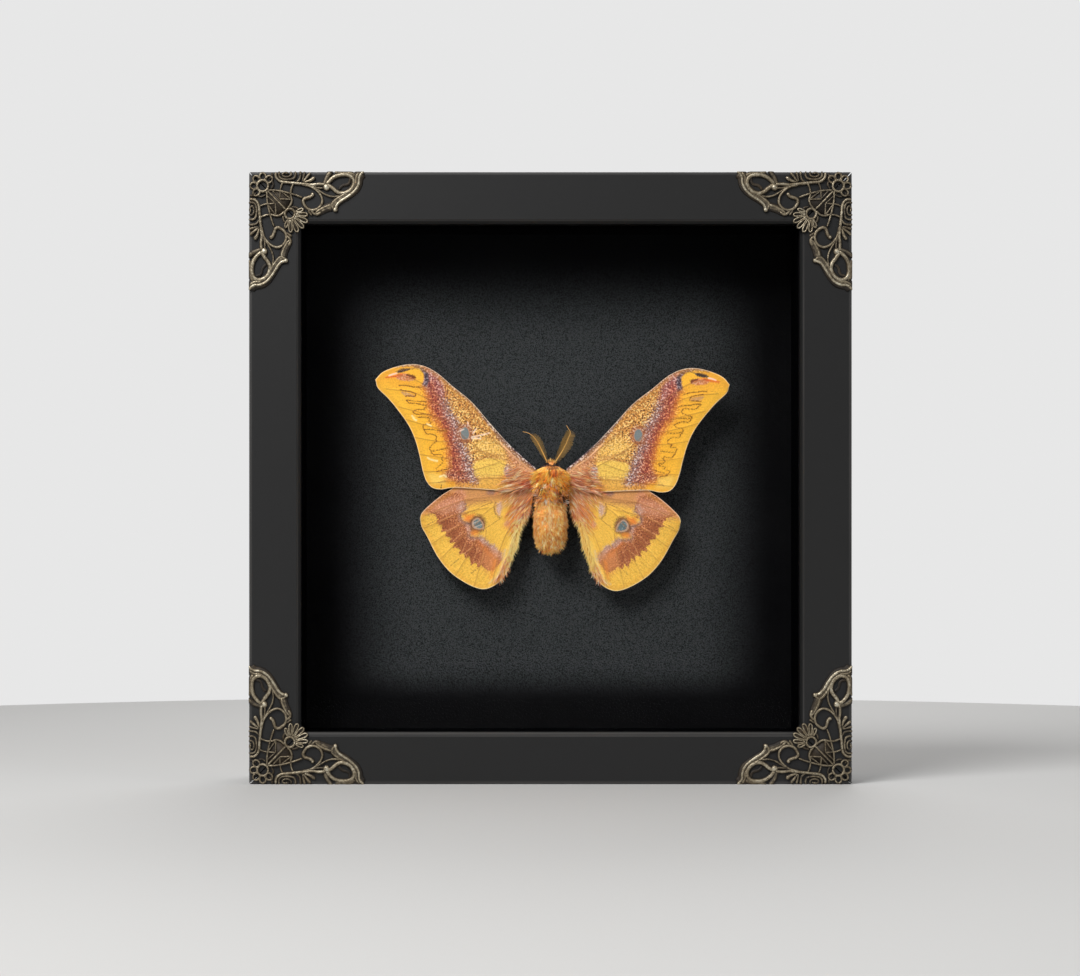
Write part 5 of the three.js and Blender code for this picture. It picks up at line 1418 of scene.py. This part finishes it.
casting = {
    "scaleAcross": 0.985, "scaleUp": 1.015,
    "gap": 0.1,       # behind the casting
    "thickness": 0.9,
    "sides": 10,
    "pitch": 0.32,    # step along a strand
    "fullness": 1.42,  # how much wider the strands are than noted
    "foot": 0.1,      # share of a strand's height that is cut off behind it
    "loopWidth": 0.95, "loopHeight": 0.78,
    "plateHeight": 0.16,
    "recess": rgb(34, 27, 20), "dull": rgb(166, 152, 126), "rubbed": rgb(242, 236, 214),
    "patina": rgb(96, 80, 56), "grime": rgb(40, 32, 24),
}
strands = [  # points, width at each end, height
    ([(0.2, 30.4), (1.5, 29.4), (3, 29.2), (4.3, 28.6), (5.5, 27.3), (6.4, 26), (7.2, 24.7), (8, 23.6),
      (8.9, 22.8), (9.3, 21.6), (9.7, 20.4), (10.2, 19.4), (10.6, 18.4)], (2.2, 1.5), 0.55),
    ([(0, 30.9), (0.9, 30), (1.6, 29.7), (3.1, 29.6), (4.6, 28.9), (5.9, 27.6), (6.8, 26.3), (7.6, 25),
      (8.3, 24.1), (9, 23.6), (9.9, 23.4)], (0.7, 0.75), 0.84),
    ([(0.3, 29.6), (1.5, 28.9), (2.9, 28.8), (4, 28.1), (5.1, 26.9), (6, 25.6), (6.7, 24.4),
      (7.5, 23.3), (8.3, 22.5), (9, 22.4), (9.9, 22.9)], (0.6, 0.6), 0.72),
    ([(8.8, 22.3), (9, 21.3), (9.4, 20.3), (9.9, 19.3), (10.4, 18.5), (11, 18)], (0.7, 0.6), 0.72),
    ([(9.6, 22.2), (9.8, 21.1), (10.1, 20.2), (10.6, 19.5)], (0.5, 0.5), 0.56),
    ([(10.6, 19.4), (11.1, 18.7), (11.2, 18), (10.8, 17.3), (10.2, 16.8)], (0.75, 0.6), 0.7),
    ([(11.5, 16.9), (11, 16.6), (10.5, 16.2), (10, 16.1)], (0.65, 0.5), 0.6),
    ([(0, 23.2), (0.5, 25.2), (0.5, 27.2), (1.1, 28.6)], (1.1, 1.0), 0.62),
    ([(5.7, 27), (6.3, 25.6), (6.5, 24.2)], (0.7, 0.5), 0.4),
    ([(1.7, 27.2), (2.4, 27.2), (3, 27), (3.4, 26.4), (3.6, 25.4), (4.2, 24.6), (4.8, 24.3)],
     (0.5, 0.6), 0.3),
    ([(3.6, 20.3), (2.6, 20.6), (1.5, 21), (0.3, 21.8), (-0.5, 22.3)], (0.9, 1.1), 0.6),
    ([(3.4, 20.6), (3.3, 18.6), (3.5, 17), (3.3, 15), (3.05, 12.5), (2.85, 10.5), (2.7, 9), (2.2, 7.9),
      (1.3, 7.3), (0.2, 7.3)], (0.75, 0.65), 0.78),
    ([(4.3, 20.4), (4.3, 18.6), (3.9, 17), (3.6, 15.8)], (0.55, 0.4), 0.6),
    ([(6.4, 24.4), (6.6, 22.8), (6.2, 21), (5.2, 19.2), (4.4, 17.7), (3.8, 16), (3.5, 14.4)],
     (0.45, 0.5), 0.66),
    ([(3.6, 15.4), (4.1, 17), (5, 18.3), (6.3, 19.4), (7.7, 19.8), (8.9, 19.4), (9.8, 18.4), (10.1, 17),
      (9.7, 15.8), (8.8, 15), (7.8, 14.6), (7.1, 15), (6.8, 15.9), (6.4, 16.9), (5.7, 17.4)],
     (0.5, 0.8), 0.74),
    ([(0, 12.5), (0.8, 12.6), (1.7, 12.2), (2.05, 11), (2.05, 9.5), (1.7, 8.5), (1, 8.1), (0, 8.2)],
     (0.55, 0.55), 0.62),
    ([(0, 11.3), (0.8, 11.4), (1.3, 10.8), (1.35, 9.7), (0.95, 9), (0.45, 9.3), (0.3, 10.2),
      (0.6, 10.8)],
     (0.5, 0.4), 0.6),
    ([(-0.2, 13.9), (1, 13.9), (2.1, 13.6), (2.8, 12.7)], (0.6, 0.5), 0.6),
    ([(2.6, 14.5), (1.4, 14.7), (0.1, 15.1)], (0.45, 0.7), 0.62),
    ([(2.7, 14.7), (1.5, 15.6), (0.3, 16.6)], (0.45, 0.85), 0.68),
    ([(2.8, 15), (2.3, 16.6), (1.5, 17.8)], (0.45, 1.0), 0.72),
    ([(4.9, 5.2), (4.95, 7.5), (5.3, 9.5), (5.8, 11.4), (6.2, 12.8), (6.8, 14.4)], (0.5, 0.45), 0.7),
    ([(9.7, 10.4), (8.6, 11.3), (7.4, 11.6), (6.2, 11.3), (4.6, 11.4), (3.1, 12)], (0.55, 0.45), 0.7),
    ([(2.9, 9.1), (4.2, 8.6), (5.1, 8.5), (7.2, 8.3)], (0.42, 0.42), 0.64),
    ([(7.3, 11.5), (7.25, 10), (7.2, 8.3)], (0.42, 0.42), 0.66),
    ([(5.2, 8.7), (6.2, 10), (7.2, 11.4)], (0.4, 0.4), 0.62),
    ([(5, 6.4), (6.1, 7.4), (7.2, 8.4)], (0.4, 0.4), 0.6),
    ([(9.2, 11.6), (9.4, 12.8), (10, 13.6)], (0.5, 0.5), 0.5),
    ([(2.6, 6.4), (3.4, 6.6), (4.6, 6)], (0.45, 0.4), 0.5),
    ([(0.2, 6.3), (1.2, 6.2), (2, 5.5)], (0.5, 0.45), 0.5),
]
diagonalStrands = [([(5.1, 5.1), (7.2, 7.2), (9.9, 9.9)], (0.5, 0.5), 0.72)]
teardrop = [(3.4, 21), (2.2, 22), (1.2, 23.5), (0.85, 25.3), (1, 27), (1.9, 28.1), (3.2, 28.3),
            (4.6, 27.6), (5.5, 26.2), (5.7, 24.8), (5.2, 23.6), (4.3, 22.5)]
beads = [(4.1, 20.9, 1.05, 0.72), (10, 23.3, 0.72, 0.72), (6, 17.2, 0.6, 0.62), (0.45, 10.1, 0.3, 0.62)]
lowPlate = [(4.7, 4.9), (4.8, 7.4), (5.1, 9.4), (5.7, 11.3), (7.3, 11.5), (8.9, 11.1), (9.8, 10.2)]
fanFlower = {"centre": 11.05, "ring": 1.35, "width": 0.62, "height": 0.74,
             # turn from the diagonal, reach and width of each petal
             "petals": [(0, 5.2, 1.25), (21, 5.2, 1.25), (-21, 5.2, 1.25), (42, 4.8, 1.15),
                        (-42, 4.8, 1.15), (63, 3.8, 0.9), (-63, 3.8, 0.9)],
             "petalNear": 1.6, "petalWidth": 0.42, "petalHeight": 0.78, "petalPlate": 0.3}
cornerFlower = {"centre": 3.75, "ring": 1.5, "width": 0.62, "height": 0.74,
                "petalTurns": (135, 180, 225, 270, 315), "petalOut": 2.4, "petalHalf": (1.0, 0.85),
                "petalWidth": 0.5, "petalHeight": 0.7}


def strandParts(points, widths, height, closed=False):
    # One strand: a rounded rib that stands on the casting's back plane
    given = np.array(points, float)
    rough = np.vstack([given, given[:1]]) if closed else given
    length = np.linalg.norm(np.diff(rough, axis=0), axis=1).sum()
    count = max(6, int(length / casting["pitch"]))
    line = smoothLine(rough, count)
    share = np.linspace(0, 1, count)
    width = (widths[0] + (widths[1] - widths[0]) * share) * casting["fullness"]
    if not closed:
        ends = np.minimum(share, 1 - share) * length
        width = width * np.sqrt(np.clip(0.25 + ends / 0.3, 0.25, 1))
    foot = casting["foot"] * height
    path = np.stack([line[:, 0], np.full(count, foot), line[:, 1]], axis=1)
    places = tubePlaces(path, width / 2, casting["sides"])
    # The section is an upright oval with its foot cut off flat
    sides = casting["sides"]
    middles = np.vstack([np.repeat(path, sides, axis=0), path[:1], path[-1:]])
    halves = np.concatenate([np.repeat(width / 2, sides), [1, 1]])
    rise = (places[:, 1] - middles[:, 1]) / np.maximum(halves, 1e-6)
    places[:, 1] = np.minimum(foot + rise * (height - foot), 0)
    return places, tubeFaces(count, sides)


def domeParts(across, up, radius, height):
    levels, sides = 6, 18
    angles = np.linspace(0, 2 * math.pi, sides, endpoint=False)
    tilt = np.linspace(0, math.pi / 2 * 0.97, levels)
    rings = [np.stack([across + radius * math.cos(a) * np.cos(angles),
                       np.full(sides, -height * math.sin(a)),
                       up + radius * math.cos(a) * np.sin(angles)], axis=1) for a in tilt]
    places = np.vstack(rings + [np.array([[across, 0, up], [across, -height, up]])])
    return places, tubeFaces(levels, sides)


def plateParts(points, height):
    ring = np.array(points, float)
    count = len(ring)
    low = np.stack([ring[:, 0], np.zeros(count), ring[:, 1]], axis=1)
    high = low + [0, -height, 0]
    faces = [tuple(range(count)), tuple(range(2 * count - 1, count - 1, -1))]
    faces += [(i, (i + 1) % count, (i + 1) % count + count, i + count) for i in range(count)]
    return np.vstack([low, high]), faces


def swapped(points):
    return [(b, a) for a, b in points]


def around(centre, degrees, radius):
    angle = math.radians(degrees)
    return centre + radius * math.cos(angle), centre + radius * math.sin(angle)


def petalLoop(centre, turn, near, far, half):
    # A drop-shaped outline that widens away from the flower's ring
    angle = math.radians(turn)
    loop = []
    for step in np.linspace(0, 2 * math.pi, 14, endpoint=False):
        out = (1 - math.cos(step)) / 2
        aside = half * math.sin(step) * (0.35 + 0.75 * out)
        along = near + (far - near) * out
        loop.append((centre + along * math.cos(angle) - aside * math.sin(angle),
                     centre + along * math.sin(angle) + aside * math.cos(angle)))
    return loop


def castingParts():
    parts = []
    for points, widths, height in strands:
        parts.append(strandParts(points, widths, height))
        parts.append(strandParts(swapped(points), widths, height))
    for points, widths, height in diagonalStrands:
        parts.append(strandParts(points, widths, height))
    for loop in (teardrop, swapped(teardrop)):
        parts.append(strandParts(loop, (casting["loopWidth"],) * 2, casting["loopHeight"], closed=True))
    for across, up, radius, height in beads:
        parts.append(domeParts(across, up, radius, height))
        parts.append(domeParts(up, across, radius, height))
    parts.append(plateParts(lowPlate + swapped(lowPlate)[::-1], casting["plateHeight"]))
    for flower in (fanFlower, cornerFlower):
        ring = [around(flower["centre"], turn, flower["ring"]) for turn in range(0, 360, 24)]
        parts.append(strandParts(ring, (flower["width"],) * 2, flower["height"], closed=True))
    for turn, reach, width in fanFlower["petals"]:
        petal = petalLoop(fanFlower["centre"], 45 + turn, fanFlower["petalNear"], reach, width / 2)
        parts.append(strandParts(petal, (fanFlower["petalWidth"],) * 2, fanFlower["petalHeight"],
                                 closed=True))
        parts.append(plateParts(petal, fanFlower["petalPlate"]))
    for turn in cornerFlower["petalTurns"]:
        along, aside = cornerFlower["petalHalf"]
        middle = around(cornerFlower["centre"], turn, cornerFlower["petalOut"])
        petal = oval(*middle, along, aside, math.radians(turn))
        parts.append(strandParts(petal[::2], (cornerFlower["petalWidth"],) * 2,
                                 cornerFlower["petalHeight"], closed=True))
    return parts


def brassMaterial():
    # Dull antique brass: pale where the relief is rubbed, brown in its recesses
    material = newMaterial("antiqueBrass")
    tree = material.node_tree
    place = objectPlace(tree)
    depth = put(tree, "SeparateXYZ", {0: place}).outputs[1]
    worn = noise(tree, place, 900, 4, 0.65)
    grime = noise(tree, place, 2300, 3, 0.6)
    cloudy = noise(tree, place, 180, 2, 0.5)
    rise = calc(tree, "MULTIPLY", calc(tree, "SUBTRACT", (railFace - casting["gap"]) * mm, depth), 1000)
    rise = calc(tree, "ADD", rise, calc(tree, "MULTIPLY", calc(tree, "SUBTRACT", worn, 0.5), 0.5))
    tone = blend(tree, span(tree, rise, 0.3, 0.66), casting["recess"], casting["dull"])
    tone = blend(tree, span(tree, rise, 0.54, 0.8, 0, 0.95), tone, casting["rubbed"])
    tone = blend(tree, span(tree, cloudy, 0.42, 0.72, 0, 0.35), tone, casting["patina"])
    tone = blend(tree, span(tree, grime, 0.52, 0.64, 0, 0.6), tone, casting["grime"])
    gloss = span(tree, rise, 0.2, 0.8, 0.62, 0.38)
    metal = span(tree, rise, 0.2, 0.6, 0.25, 0.65)
    return surface(material, Base_Color=tone, Metallic=metal, Roughness=gloss,
                   Normal=bumped(tree, calc(tree, "ADD", worn, grime), 0.55, 0.00014))


def buildCasting(name, signAcross, signUp, brass, parts):
    places, faces, offset = [], [], 0
    for partPlaces, partFaces in parts:
        places.append(partPlaces)
        faces += [tuple(index + offset for index in face) for face in partFaces]
        offset += len(partPlaces)
    local = np.vstack(places)
    across = np.maximum(local[:, 0] * casting["scaleAcross"], 0)
    up = np.maximum(local[:, 2] * casting["scaleUp"], 0)
    depth = railFace - casting["gap"] + np.clip(local[:, 1], -casting["thickness"], 0)
    cornerX = signAcross * frameWide / 2
    cornerZ = frameHigh if signUp > 0 else 0
    row = np.stack([cornerX - signAcross * across, depth, cornerZ - signUp * up], axis=1) * mm
    return outwards(meshPiece(name, row, faces, brass), joined=False)


brass = brassMaterial()
parts = castingParts()
for upName, signUp in (("bottom", -1), ("top", 1)):
    for acrossName, signAcross in (("left", -1), ("right", 1)):
        place = upName + "_" + acrossName
        filigree = buildCasting("filigree_" + place, signAcross, signUp, brass, parts)
        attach(filigree, "root")
        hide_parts("corner_casting_" + place)
print("four filigree castings of", len(parts), "strands and beads each")


# Stage, lights and camera

camera = {
    "place": (-12.07, railFace - 610, 55.52),
    "lens": 76.65,
    "shiftX": 35 / 1080,
    "shiftY": 87 / 1080,
}
studio = {
    "floorRadius": 420,
    "floor": (0.60, 0.595, 0.585, 1), "floorPatch": (0.57, 0.565, 0.555, 1),
    "seen": (0.80, 0.80, 0.80, 1),
    "above": 0.3,
    "front": 0.09,
    "key": {"place": (-330, -470, 620), "aim": (0, 0, 80), "size": 420, "watts": 5.95},
    "side": {"place": (620, -430, 240), "aim": (0, 0, 80), "size": 380, "watts": 0.75},
    "back": {"place": (100, 600, 520), "aim": (0, 0, 80), "size": 500, "watts": 2.2},
}


def addFloor():
    bpy.ops.mesh.primitive_circle_add(vertices=128, radius=studio["floorRadius"] * mm, fill_type="NGON")
    floor = bpy.context.object
    floor.name = "studio_floor"
    material = newMaterial("paleFloor")
    tree = material.node_tree
    tone = blend(tree, noise(tree, objectPlace(tree), 3, 1, 0.4), studio["floor"],
                 studio["floorPatch"])
    floor.data.materials.append(surface(material, Base_Color=tone, Roughness=0.7,
                                        Specular_IOR_Level=0.2))


def addLight(name, values):
    data = bpy.data.lights.new(name, "AREA")
    data.shape = "DISK"
    data.size = values["size"] * mm
    data.energy = values["watts"]
    light = bpy.data.objects.new(name, data)
    light.location = Vector(values["place"]) * mm
    aim = Vector(values["aim"]) * mm - light.location
    light.rotation_euler = aim.to_track_quat("-Z", "Y").to_euler()
    bpy.context.scene.collection.objects.link(light)


def buildWorld():
    world = bpy.data.worlds.new("studioAir")
    bpy.context.scene.world = world
    world.use_nodes = True
    tree = world.node_tree
    tree.nodes.clear()
    direction = put(tree, "TexCoord").outputs["Generated"]
    parts = put(tree, "SeparateXYZ", {0: direction})
    upwards = span(tree, parts.outputs[2], -0.1, 0.9)
    ambient = span(tree, upwards, 0, 1, studio["front"], studio["above"])
    dim = put(tree, "Background", {0: (1, 1, 1, 1), 1: ambient}).outputs[0]
    pale = put(tree, "Background", {0: studio["seen"], 1: 1.0}).outputs[0]
    seen = put(tree, "LightPath").outputs["Is Camera Ray"]
    mixed = put(tree, "MixShader", {0: seen, 1: dim, 2: pale}).outputs[0]
    put(tree, "OutputWorld", {0: mixed})


def addCamera():
    data = bpy.data.cameras.new("viewCamera")
    data.lens = camera["lens"]
    data.sensor_width = 36
    data.shift_x = camera["shiftX"]
    data.shift_y = camera["shiftY"]
    data.clip_start = 0.01
    viewer = bpy.data.objects.new("viewCamera", data)
    viewer.location = Vector(camera["place"]) * mm
    viewer.rotation_euler = (math.pi / 2, 0, 0)
    bpy.context.scene.collection.objects.link(viewer)
    bpy.context.scene.camera = viewer


bpy.context.scene.view_settings.view_transform = "Standard"
addFloor()
buildWorld()
for lightName in ("key", "side", "back"):
    addLight(lightName + "Light", studio[lightName])
addCamera()
print("stage, lights and camera are set")

bpy.context.view_layer.update()
